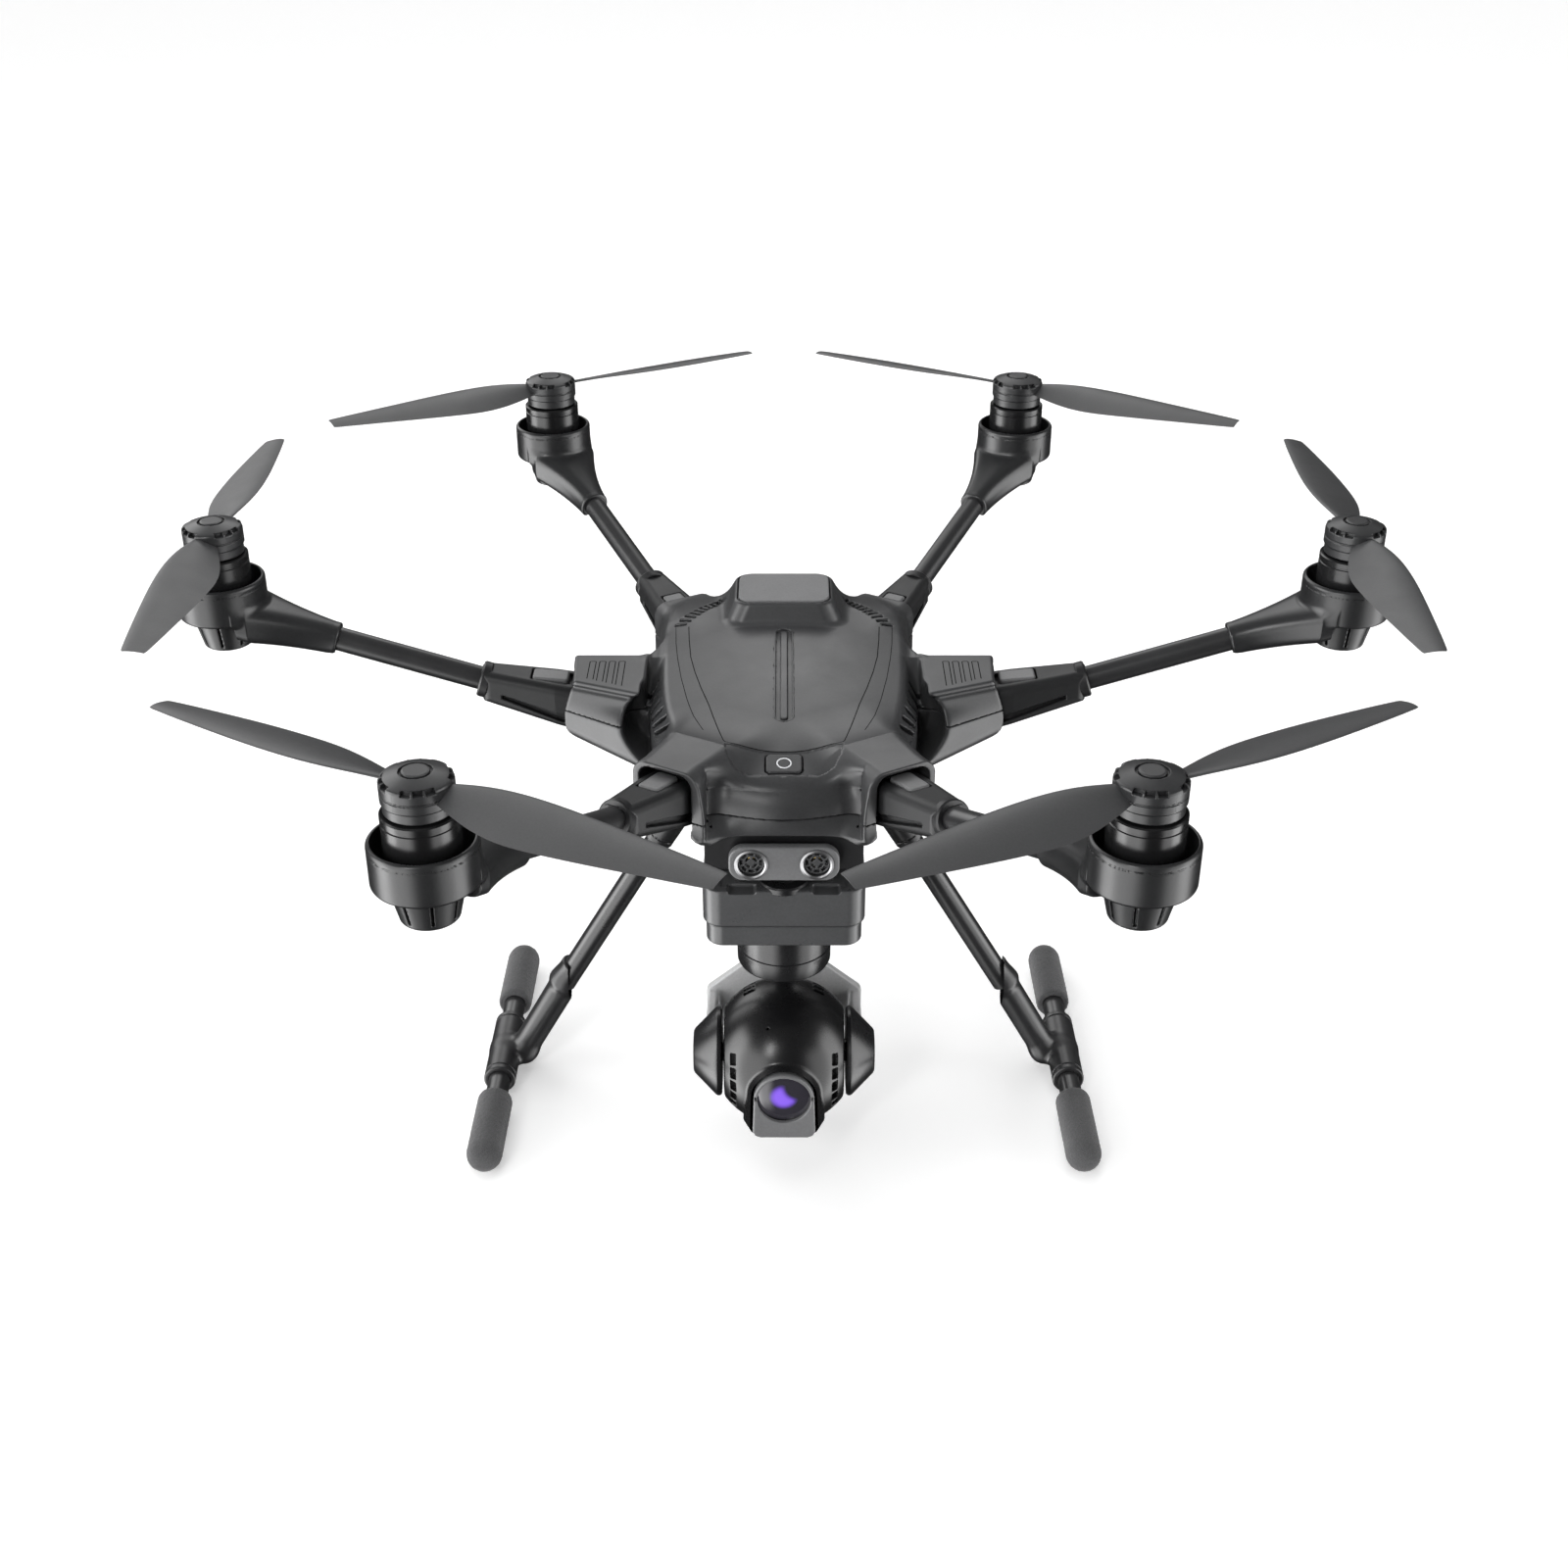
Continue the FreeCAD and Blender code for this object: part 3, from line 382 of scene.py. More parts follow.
def pipe(name, a, b, body, replaced=(), arm=None, outer=TUBE_R):
    """Hollow carbon tube between two points, with chamfered ends."""
    a, b = np.array(a, float), np.array(b, float)
    long = np.linalg.norm(b - a)
    edge = 0.25
    profile = [(TUBE_BORE, 0), (outer - edge, 0)]
    profile += [(outer, h) for h in np.linspace(edge, long - edge, 12)]
    profile += [(outer - edge, long), (TUBE_BORE, long)]
    return turned(name, profile, a, body, "carbon", replaced, (b - a) / long, arm, 64)


def lay_seam(name, path, width):
    """Thin dark strip laid on the body along a path: the shadow gap between two panels."""
    lift, depth = 0.05, 0.3
    path = [np.array(q, float) for q in path]
    dense = []
    for q0, q1 in zip(path, path[1:]):
        n = max(2, int(np.linalg.norm(q1 - q0)))
        dense += [q0 + (q1 - q0) * i / n for i in range(n)]
    dense.append(path[-1])
    p = np.array(dense)
    for _ in range(12):
        g = gradient(body_skin, p, 0.2) * np.array([0, 0, 1])
        move = -(body_skin(p) / np.maximum((g * g).sum(1), 0.1))[:, None] * g
        p = p + np.clip(move, -2, 2)
    normal = unit(gradient(body_skin, p, 0.3))
    side = unit(np.cross(normal, np.gradient(p, axis=0))) * width / 2
    points = np.concatenate([p - side + normal * lift, p + side + normal * lift,
                             p - side - normal * depth, p + side - normal * depth])
    n = len(p)
    rails = ((0, n), (2 * n, 0), (n, 3 * n), (3 * n, 2 * n))
    faces = [[a + i, a + i + 1, b + i + 1, b + i] for i in range(n - 1) for a, b in rails]
    faces += [[0, n, 3 * n, 2 * n], [2 * n - 1, 4 * n - 1, 3 * n - 1, n - 1]]
    mesh = new_mesh(name, points, faces)
    sharpen(mesh, 60)
    link(mesh, "airframe", "gap")


# ------------------------------------------------------------------ materials
def new_material(name):
    mat = bpy.data.materials.new(name)
    mat.use_nodes = True
    return mat, mat.node_tree, mat.node_tree.nodes["Principled BSDF"].inputs


def map_range(tree, value, start, stop, low, high, soft=False):
    """Value taken from start..stop to low..high."""
    node = tree.nodes.new("ShaderNodeMapRange")
    if soft:
        node.interpolation_type = "SMOOTHSTEP"
    for name, number in (("From Min", start), ("From Max", stop), ("To Min", low), ("To Max", high)):
        node.inputs[name].default_value = number
    tree.links.new(value, node.inputs["Value"])
    return node.outputs["Result"]


def maths(tree, kind, *values):
    """Math node; each value is a number or another node's output."""
    node = tree.nodes.new("ShaderNodeMath")
    node.operation = kind
    for slot, value in zip(node.inputs, values):
        if isinstance(value, (int, float)):
            slot.default_value = value
        else:
            tree.links.new(value, slot)
    return node.outputs[0]


def material(name, colour, rough, metallic=0.0, grain=900.0, bump=0.1, mottling=0.12, speckle=0.1, coat=0.0,
             rough_swing=0.035, specular=0.5, sheen=0.0):
    """Moulded or painted surface: colour drifts slowly, roughness varies, and a fine grain lifts it."""
    mat, tree, inputs = new_material(name)
    nodes, links = tree.nodes, tree.links
    where = nodes.new("ShaderNodeTexCoord")

    def noise(scale, detail_level, rough_in=0.6):
        node = nodes.new("ShaderNodeTexNoise")
        node.inputs["Scale"].default_value = scale
        node.inputs["Detail"].default_value = detail_level
        node.inputs["Roughness"].default_value = rough_in
        links.new(where.outputs["Object"], node.inputs["Vector"])
        return node.outputs["Fac"]

    def spread(value, middle, swing):
        """Noise, which mostly lies between 0.3 and 0.7, taken to middle - swing .. middle + swing."""
        return map_range(tree, value, 0.3, 0.7, middle - swing, middle + swing)

    fine = noise(grain, 4.0, 0.7)
    tint = maths(tree, "MULTIPLY", spread(noise(26.0, 3.0), 1, mottling), spread(fine, 1, speckle))
    mix = nodes.new("ShaderNodeVectorMath")
    mix.operation = "SCALE"
    mix.inputs[0].default_value = colour
    links.new(tint, mix.inputs["Scale"])
    links.new(mix.outputs[0], inputs["Base Color"])
    links.new(spread(noise(60.0, 4.0), rough, rough_swing), inputs["Roughness"])
    inputs["Metallic"].default_value = metallic
    inputs["Specular IOR Level"].default_value = specular
    inputs["Coat Weight"].default_value = coat
    inputs["Coat Roughness"].default_value = 0.08
    inputs["Sheen Weight"].default_value = sheen
    raised = nodes.new("ShaderNodeBump")
    raised.inputs["Strength"].default_value = bump
    raised.inputs["Distance"].default_value = 0.0002
    links.new(fine, raised.inputs["Height"])
    links.new(raised.outputs["Normal"], inputs["Normal"])
    return mat


def painted_reflection_lens_material():
    """Dark glass with a painted reflection: a violet-blue patch in the middle, painted into the colour and
    made to glow by emission, that fades to near black at the rim.
    """
    mat, tree, inputs = new_material("lens_painted_reflection")
    nodes, links = tree.nodes, tree.links
    where = nodes.new("ShaderNodeTexCoord")

    def disc(x, z, inner, outer, low, high):
        """Soft-edged round mask about a point of the glass, seen from the front."""
        move = nodes.new("ShaderNodeMapping")
        move.vector_type = "POINT"
        move.inputs["Location"].default_value = (-x * MM, 0, -z * MM)
        move.inputs["Scale"].default_value = (1.0, 0.0, 1.0)
        links.new(where.outputs["Object"], move.inputs["Vector"])
        reach = nodes.new("ShaderNodeVectorMath")
        reach.operation = "LENGTH"
        links.new(move.outputs["Vector"], reach.inputs[0])
        return map_range(tree, reach.outputs["Value"], inner * MM, outer * MM, low, high, True)

    # Painted reflection: a soft violet-blue patch near the middle, with a second disc biting into it off to
    # the upper side.
    painted_reflection_core = disc(-0.2, LENS_Z + 1.4, 3.2, 7.0, 1.0, 0.0)
    painted_reflection_bite = disc(6.4, LENS_Z + 6.8, 5.2, 8.6, 0.0, 1.0)
    ramp = nodes.new("ShaderNodeValToRGB")
    links.new(maths(tree, "MULTIPLY", painted_reflection_core, painted_reflection_bite), ramp.inputs["Fac"])
    stops = ramp.color_ramp.elements
    stops[0].position, stops[0].color = 0.0, (0.028, 0.026, 0.034, 1)
    stops[1].position, stops[1].color = 1.0, (0.20, 0.10, 0.62, 1)
    stops.new(0.5).color = (0.12, 0.06, 0.42, 1)
    links.new(ramp.outputs["Color"], inputs["Base Color"])
    # The painted reflection sets the colour and also glows through emission, though the lens is no lamp.
    links.new(ramp.outputs["Color"], inputs["Emission Color"])
    inputs["Emission Strength"].default_value = 0.4
    inputs["Roughness"].default_value = 0.04
    inputs["Specular IOR Level"].default_value = 0.6
    inputs["Coat Weight"].default_value = 1.0
    inputs["Coat Roughness"].default_value = 0.02
    return mat


M = {
    "shell": material("shell_plastic", (0.038, 0.0385, 0.040), 0.35, bump=0.08, mottling=0.05),
    "lid": material("lid_plastic", (0.125, 0.126, 0.129), 0.45, bump=0.1, mottling=0.05),
    "pod": material("pod_plastic", (0.018, 0.0184, 0.0192), 0.31, bump=0.08, mottling=0.06),
    "knuckle": material("knuckle_plastic", (0.015, 0.0153, 0.016), 0.4, mottling=0.06, specular=0.3),
    "latch": material("latch_plastic", (0.11, 0.111, 0.113), 0.4, bump=0.08),
    "carbon": material("tube_lacquer", (0.022, 0.022, 0.023), 0.3, bump=0.06, grain=1500, coat=0.2),
    "can": material("motor_paint", (0.010, 0.010, 0.0105), 0.24, bump=0.05, mottling=0.05),
    "cap": material("cap_plastic", (0.024, 0.0245, 0.0255), 0.34, bump=0.08),
    "blade": material("blade_nylon", (0.045, 0.0456, 0.047), 0.42, bump=0.15, grain=1300, mottling=0.06),
    "black": material("black_plastic", (0.010, 0.010, 0.011), 0.4, bump=0.1),
    "gap": material("seam_shadow", (0.004, 0.004, 0.004), 0.8, bump=0.0, specular=0.1),
    "foam": material("grip_foam", (0.075, 0.075, 0.077), 0.95, grain=2600, bump=0.9, speckle=0.45, sheen=0.2,
                     specular=0.2),
    "yoke": material("yoke_paint", (0.44, 0.442, 0.446), 0.45, bump=0.06),
    "ball": material("gloss_black", (0.006, 0.006, 0.0065), 0.27, bump=0.02, rough_swing=0.03),
    "sidecap": material("gimbal_black", (0.012, 0.012, 0.013), 0.28, bump=0.05),
    "hood": material("hood_plastic", (0.13, 0.131, 0.134), 0.4, bump=0.08),
    "tray": material("tray_plastic", (0.062, 0.063, 0.065), 0.3, bump=0.05, mottling=0.05),
    "motor": material("gimbal_motor", (0.016, 0.016, 0.017), 0.24, bump=0.04, mottling=0.05),
    "steel": material("bright_steel", (0.55, 0.55, 0.56), 0.25, metallic=1.0, bump=0.05),
    "brass": material("contact_brass", (0.6, 0.42, 0.15), 0.3, metallic=1.0, bump=0.05),
    "satin": material("satin_rim", (0.27, 0.27, 0.275), 0.34, metallic=0.9, bump=0.05),
    "fitting": material("fitting_plastic", (0.022, 0.022, 0.023), 0.33, bump=0.08),
    "rubber": material("damper_rubber", (0.012, 0.012, 0.012), 0.7, bump=0.2),
    "white": material("ring_light", (0.75, 0.76, 0.78), 0.4, bump=0.02),
    "board": material("board_mask", (0.01, 0.07, 0.03), 0.4, bump=0.1),
    "lens": painted_reflection_lens_material(),
}


# ------------------------------------------------------------------ body
# Curves along the body: y, then a height or a half width.
TOP = [(-92, 199.5), (-84, 202.6), (-77, 205.0), (-69, 207.0), (-62, 208.6), (-45, 211.8), (-20, 215.0),
       (5, 217.0), (30, 218.0), (50, 217.8), (70, 215.8), (88, 211.5), (100, 205.5)]
RIDGE = [(-92, 30.6), (-80, 31.6), (-70, 33.6), (-54, 41.0), (-36, 47.4), (-20, 50.4), (3, 52.4), (28, 53.4),
         (46, 53.4), (60, 50.5), (73, 43.5), (86, 34.0), (100, 26.0)]
CROWN = [(-92, 0.6), (-80, 1.0), (-70, 1.5), (-54, 2.4), (-36, 3.4), (-10, 4.0), (30, 4.4), (60, 5.0),
         (80, 6.0), (100, 7.5)]
FLOOR = [(-92, 182.6), (-80, 182.0), (-70, 180.5), (-50, 177.5), (-20, 176), (50, 176), (80, 179), (100, 184)]
NOSE_Y, NOSE_Z, NOSE_R = -67.1, 186.4, 21.1
SPLIT, NOSE_SPLIT = 197.0, 190.2        # height where the upper and lower shell meet
SLEEVE_END, SLEEVE_TOP = 96.0, 212.4
BLOCK_TOP = 212.2
PUCK_Y, PUCK_TOP = 61.0, 227.0
SPINE_Y0, SPINE_Y1 = -39.0, 32.0
BUTTON_TILT = math.radians(14)
BUTTON_AT = np.array([0, -69.6, 206.5])
APRON = [(-24.4, -63.2), (24.4, -63.2), (23.2, -70), (20.5, -74.2), (14, -75.9), (0, -76.6), (-14, -75.9),
         (-20.5, -74.2), (-23.2, -70)]
CHIN = [(-33, -84), (33, -84), (24.3, -67), (23, -45), (-23, -45), (-24.3, -67)]


def hull(p):
    """Domed back with a crisp shoulder over steep flanks, and a rounded nose."""
    x, y, z = p.T
    ax = np.abs(x)
    bend = 0.0097 * smooth(np.clip((-20 - y) / 58, 0, 1)) - 0.004 * smooth(np.clip((y - 60) / 40, 0, 1))
    ledge = np.clip((z - 183.5) / 6.5, 0, 1)
    along = y - bend * x * x * np.where(y < 0, ledge, 1.0)
    ridge = table(RIDGE, y)
    top = table(TOP, along)
    crown = table(CROWN, y)
    dome = (z - top + crown * (ax / ridge) ** 2) * 0.97
    spread = 0.5 * np.clip((y + 80) / 30, 0.1, 1) * np.clip((108 - y) / 30, 0.2, 1)
    drop = smin(top - crown - z, np.full(len(p), 14.0), 4.0)
    flank = (ax - ridge - drop * spread) * 0.9
    body = smax(dome, flank, 1.8)
    body = smax(body, table(FLOOR, y) - z, 1.0)
    lift = np.maximum(along + 77, 0) * 2.2
    nose = np.hypot(np.maximum(NOSE_Y - along, 0), np.maximum(z - NOSE_Z - lift, 0)) - NOSE_R
    body = smax(body, nose * 0.95, 0.9)
    tail = along - 100.5 + 0.5 * np.maximum(192 - z, 0)
    return smax(body, tail, 4.0)


def inner_lean(arm, t, z):
    """How far a front sleeve's wall next to the nose stands off towards its lower edge."""
    if not arm.startswith("front"):
        return 0.0
    inner = np.where(t * (1 if arm.endswith("right") else -1) > 0, 1.0, 0.0)
    return 3.4 * inner * np.clip((211 - z) / 18, 0, 1)


def corner_sleeve(p, arm):
    """Flared sleeve round a corner arm's root."""
    s, t, z = to_arm(p, arm).T
    flare = 4 * np.clip((88 - s) / 40, 0, 1)
    across = np.abs(t) - 15.4 - flare - inner_lean(arm, t, z)
    above = z - SLEEVE_TOP + 0.36 * np.clip(69 - s, 0, 60)
    box = corner(across, above, 6.5)
    box = smax(box, 184.4 - 0.24 * (SLEEVE_END - s) - z, 2.0)
    return np.maximum(smax(box, s - SLEEVE_END, 0.8), smax(s - 200, 38 - s, 1))


def mid_sleeve(p):
    """Block round a middle arm's root, hollowed on its inner front side."""
    x, y, z = np.abs(p[:, 0]), p[:, 1], p[:, 2]
    high = -5.5 - 0.42 * np.clip(91.3 - x, -4, 40)
    low = -4.0 - 0.67 * np.clip(96 - x, -4, 36)
    wall = high + (low - high) * smooth(np.clip((206.5 - z) / 11, 0, 1))
    wall = wall + 1.5 * np.exp(-((z - 208.6) / 1.3) ** 2)
    front = (wall - y) * 0.86
    end = (x - 92 - 0.06 * (y - 6) - 0.34 * (BLOCK_TOP - z)) * 0.94
    block = smax(front, y - 21.4, 3.0)
    block = smax(block, z - BLOCK_TOP, 1.6)
    block = smax(block, (183.4 - 0.16 * (96 - x) - z) * 0.98, 7.0)
    block = smax(block, end, 1.2)
    block = smax(block, np.minimum(60.4 - x, z - 199.0), 1.6)
    edge = 60.5 + 9.0 * np.clip(1 - ((z - 197.5) / 14.6) ** 2, 0, 1)
    pocket = smax(smax(x - edge, y + 3, 7.0), 182.2 - z, 2.0)
    return carve(block, pocket, 3.0)


def rear_web(p):
    """Fillet behind the valley that joins the flank to the back corner of a middle block."""
    ax, y, z = np.abs(p[:, 0]), p[:, 1], p[:, 2]
    plan = polygon(ax, y, [(44, -3), (62, -3), (62.5, 19), (56, 33), (44, 46)])
    top = np.minimum(197.0 + 0.76 * np.clip(y, -3, 30), 211.6)
    return np.maximum(smax(plan, (z - top) * 0.8, 1.5), 186 - z)


def puck(p):
    """Raised housing under the antenna lid, its walls leaning in."""
    x, y, z = p.T
    rise = np.clip((z - 214) / 13, 0, 1.2)
    plan = corner(band(x, 28.6 - 6.3 * rise), band(y, 22.6 - 5.2 * rise, PUCK_Y), 8)
    return smax(smax(plan * 0.84, z - PUCK_TOP, 1.4), 205 - z, 1)


def lid_outline(p, grow=0.0):
    """Distance to the antenna lid's rounded outline, seen from above."""
    return corner(band(p[:, 0], 20.7 + grow), band(p[:, 1], 15.7 + grow, PUCK_Y), 6.5)


def bay(p):
    """Belly under the body, waisted behind the chin to clear the front arms."""
    x, y, z = p.T
    box = rbox(p, (0, 0, 177), (31, 58, 14.5), 6)
    chin = corner(polygon(x, y, CHIN), band(z, 10.5, 173.5), 3.0)
    return smin(box, chin, 2.0)


def rear_vents(p):
    """Ten short slots on a curve round each back corner of the shell."""
    x, y, z = p.T
    near = np.full(len(p), 99.0)
    for i in range(10):
        u = i / 9
        dx = np.abs(x) - (47.0 - 18.3 * u)
        dy = y - (46 + 23.5 * u + 2.5 * math.sin(math.pi * u))
        lean = math.radians(5 + 62 * u)
        du = dx * math.cos(lean) + dy * math.sin(lean)
        dv = -dx * math.sin(lean) + dy * math.cos(lean)
        near = np.minimum(near, corner(band(du, 2.7), band(dv, 1.0), 0.4))
    return np.maximum(near, 207 - z)


def flank_slots(p):
    """Six leaning slots in each flank."""
    x, y, z = p.T
    ax = np.abs(x)
    near = np.full(len(p), 99.0)
    for i in range(6):
        high, low = np.array([3.0 - 8.0 * i, 206.5]), np.array([3.3 - 6.1 * i, 197.5])
        run = low - high
        h = np.clip(((y - high[0]) * run[0] + (z - high[1]) * run[1]) / (run @ run), 0, 1)
        line = np.hypot(y - high[0] - h * run[0], z - high[1] - h * run[1]) - 1.15
        near = np.minimum(near, line)
    return np.maximum(near, np.maximum(42 - ax, ax - 60.2))


def spine_plan(p, half):
    """Distance to a long round-ended slot on the middle line, seen from above."""
    return np.hypot(p[:, 0], p[:, 1] - np.clip(p[:, 1], SPINE_Y0, SPINE_Y1)) - half


def on_button(p):
    """Row frame to the power button's own frame."""
    q = p - BUTTON_AT
    c, s = math.cos(BUTTON_TILT), math.sin(BUTTON_TILT)
    return np.stack([q[:, 0], q[:, 1] * c + q[:, 2] * s, -q[:, 1] * s + q[:, 2] * c], 1)


def body_skin(p):
    """Outside of the body before pockets are cut."""
    x, y, z = p.T
    ax = np.abs(x)
    plain = hull(p)
    f = smin(plain, puck(p), 2.2)
    for arm in CORNERS:
        f = smin(f, corner_sleeve(p, arm), 12.0)
    # Near the middle line, the sleeves' fillets stand off the hull by at most this much.
    spare = 0.3 + 0.8 * np.clip(z - 200.5, 0, 12) + np.clip(y + 74, 0, 30)
    spare = spare + 0.05 * np.clip(ax - 22, 0, 10) ** 2
    f = carve(f, np.maximum(ax - 31.3, spare - plain), 2.2)
    f = smin(f, np.maximum(mid_sleeve(p), 45 - ax), 1.2)
    return smin(f, rear_web(p), 2.5)


def body_field(p):
    """The body with the arm rooms, battery bay, slots and trim pockets cut out."""
    f = skin = body_skin(p)
    for arm in ARMS:
        s, t, z = to_arm(p, arm).T
        back, radius = (76.0, 2.0) if arm.startswith("mid") else (71.3, 5.0)
        f = carve(f, np.maximum(corner(band(t, 12.3), z - 210.4, radius), back - s), 0.7)
    f = carve(f, rbox(p, (0, 60, BATTERY_Z), (24.3, 82, 13.5), 3.2), 0.5)
    f = carve(f, np.maximum(lid_outline(p, 0.55), PUCK_TOP - 1.8 - p[:, 2]), 0.15)
    f = carve(f, np.minimum(rear_vents(p), flank_slots(p)), 0.3)
    f = carve(f, np.maximum(spine_plan(p, 3.9), -hull(p) - 2.4), 0.2)
    apron = np.maximum(polygon(p[:, 0], p[:, 1], APRON), band(p[:, 2], 9, 206))
    f = carve(f, np.maximum(apron, -skin - 0.45), 0.5)
    x, y, z = on_button(p).T
    well = np.maximum(corner(band(x, 7.75), band(y, 5.75), 2.4), -z - 4)
    return carve(f, well, 0.3)


def sleeve_rooms(p):
    """Space swept by the arm roots, which the underside keeps clear of."""
    f = np.full(len(p), 99.0)
    for arm in ARMS:
        s, t, _ = to_arm(p, arm).T
        f = np.minimum(f, np.maximum(band(t, 12.5), 71.5 - s))
    return f


def split_height(p):
    """Upper and lower shell part lower down at the nose."""
    return SPLIT + (NOSE_SPLIT - SPLIT) * np.clip((-58 - p[:, 1]) / 16, 0, 1)


def upper_field(p):
    return smax(body_field(p), split_height(p) + 0.1 - p[:, 2], 0.1)


def lower_field(p):
    return smax(body_field(p), p[:, 2] - split_height(p) + 0.1, 0.1)


def belly_field(p):
    return carve(bay(p), sleeve_rooms(p), 0.5)


def spine_field(p):
    """Inlay strip with a sunk floor and a low bar along its middle."""
    h = hull(p)
    f = smax(smax(spine_plan(p, 4.3), h - 0.12, 0.1), -h - 3, 0.1)
    f = carve(f, np.maximum(spine_plan(p, 3.5), -h - 1.25), 0.35)
    return smin(f, smax(spine_plan(p, 1.5), band(h, 0.95, -1.1), 0.4), 0.25)


def build_body():
    step = detail(0.8)
    lo, hi = (-103, -106, 160), (103, 106, 232)
    upper, lower = contour(upper_field, lo, hi, step), contour(lower_field, lo, hi, step)
    solid("body_upper", upper, "airframe", "shell", ("upper_shell",))
    solid("body_lower", lower, "airframe", "shell", ("lower_shell",))
    belly = contour(belly_field, (-36, -86, 160), (36, 60, 192), step)
    solid("body_belly", belly, "airframe", "black")
    spine = contour(spine_field, (-6, -46, 205), (6, 39, 222), detail(0.35))
    solid("spine_inlay", spine, "airframe", "shell", ("spine_trim",))


def rib_path(i):
    """Long rounded loop across the top of a middle block, open at its front end."""
    s, z, back, width = 70.2 + 4.3 * i, BLOCK_TOP, 14.0, 2.7
    front = -9.9 + 2.0 * i
    path = [(s, v, z) for v in np.linspace(front, back - 0.5, 24)]
    path += [(s + u, back - v, z) for u, v in ((0.12, 0.12), (0.5, 0), (1.35, 0), (2.2, 0), (2.58, 0.12))]
    return path + [(s + width, v, z) for v in np.linspace(back - 0.5, front + 0.9, 24)]


def build_seams():
    """Paths lie near the surface, and lay_seam moves them onto it."""
    panel = [(43.3, 43, 214), (42.6, 30, 214), (41.2, 13, 214), (38.8, -1, 214), (35.6, -15, 214),
             (32, -28, 214), (28.4, -44, 212), (24.8, -60, 209), (24.0, -61.3, 209), (22.0, -62.2, 209),
             (16, -62.5, 209), (0, -62.7, 209)]
    outer = [(49.2, 44, 213), (48.4, 28, 213), (47.0, 13, 213), (44.6, -5, 213), (41.5, -22, 212),
             (38, -37, 211), (33.5, -50, 209)]
    for side, tag in SIDES:
        seams = [(f"seam_panel_{tag}", panel, 0.4), (f"seam_outer_{tag}", outer, 0.3)]
        seams += [(f"rib_{tag}_{i}", rib_path(i), 0.4) for i in range(4)]
        for name, path, width in seams:
            lay_seam(name, [(side * x, y, z) for x, y, z in path], width)


# ------------------------------------------------------------------ small body pieces
def lid_field(p):
    return corner(lid_outline(p), band(p[:, 2], 1.2, PUCK_TOP - 0.7), 0.5)


def button_field(p):
    """Button cap with a groove for its ring."""
    x, y, z = on_button(p).T
    cap = corner(corner(band(x, 7.35), band(y, 5.4), 2.2), band(z, 2.6, -2), 0.5)
    groove = band(np.hypot(x, y), 0.34, 2.83)
    return carve(cap, np.maximum(groove, 0.25 - z), 0.1)


def build_trim():
    lid = contour(lid_field, (-23, 43, 224), (23, 79, 229), 0.5)
    solid("lid_plate", lid, "airframe", "lid", ("antenna_lid",))
    cap = contour(button_field, (-12, -78, 200), (12, -60, 214), 0.4)
    solid("button_cap", cap, "power_button", "shell", ("power_button",))
    ring = [(2.58, 0.2), (2.58, 0.62), (3.08, 0.62), (3.08, 0.2)]
    axis = (0, -math.sin(BUTTON_TILT), math.cos(BUTTON_TILT))
    turned("button_ring", ring, BUTTON_AT, "power_button", "white", axis=axis)


# ------------------------------------------------------------------ arms
# Propeller blade from root to tip: radius, chord, twist in degrees, thickness, lead of the front edge.
BLADE = [(9, 8.0, 21, 2.6, 4.0), (16, 12.4, 20, 2.3, 6.0), (28, 18.8, 17.5, 2.0, 8.6),
         (42, 22.4, 14.5, 1.8, 9.8), (58, 21.8, 12, 1.6, 9.6), (76, 18.8, 10, 1.4, 8.4),
         (94, 14.8, 8.5, 1.2, 6.8), (108, 11.4, 7.5, 1.0, 5.4), (116.5, 9.0, 7, 0.9, 4.4)]
BLADE_Z = 275.0


def knuckle_field(p):
    """Tapered arm root with side slots, the latch's pocket and the fold hinge's bore."""
    s, t, z = p.T
    side = [(75, 187), (77, 183.5), (81, 182.2), (130, 197.6), (130.5, 198.6), (130.5, 211.4), (129, 212.2),
            (98, 207.2), (86, 205.2), (78, 201.5), (75, 196)]
    half = np.interp(s, [75, 98, 130], [11.4, 10.9, 7.4])
    f = corner(polygon(s, z, side), band(t, half), 4.2)
    line = np.clip((121 - s) / 26, 0, 1)
    slot = np.maximum(band(z, 0, 201.0 - 9.0 * line) * 0.95 - (0.9 + 0.9 * line), s - 121.5)
    f = carve(f, np.maximum(slot, half - 2.4 - np.abs(t)), 0.4)
    f = carve(f, rbox(p, (99.4, 0, 209.2), (9.5, 5.3, 5.4), 0.8), 0.4)
    return carve(f, np.hypot(s - FOLD_S, z - FOLD_Z) - PIN_BORE, 0.2)


def latch_field(p):
    """Slab that follows the slope of the knuckle's top."""
    s, t, z = p.T
    plan = corner(band(s, 7.9, 100.3), band(t, 4.9), 1.6)
    return corner(plan, band(z, 2.4, 206.1 + 0.09 * (s - 98.6)), 1.0)


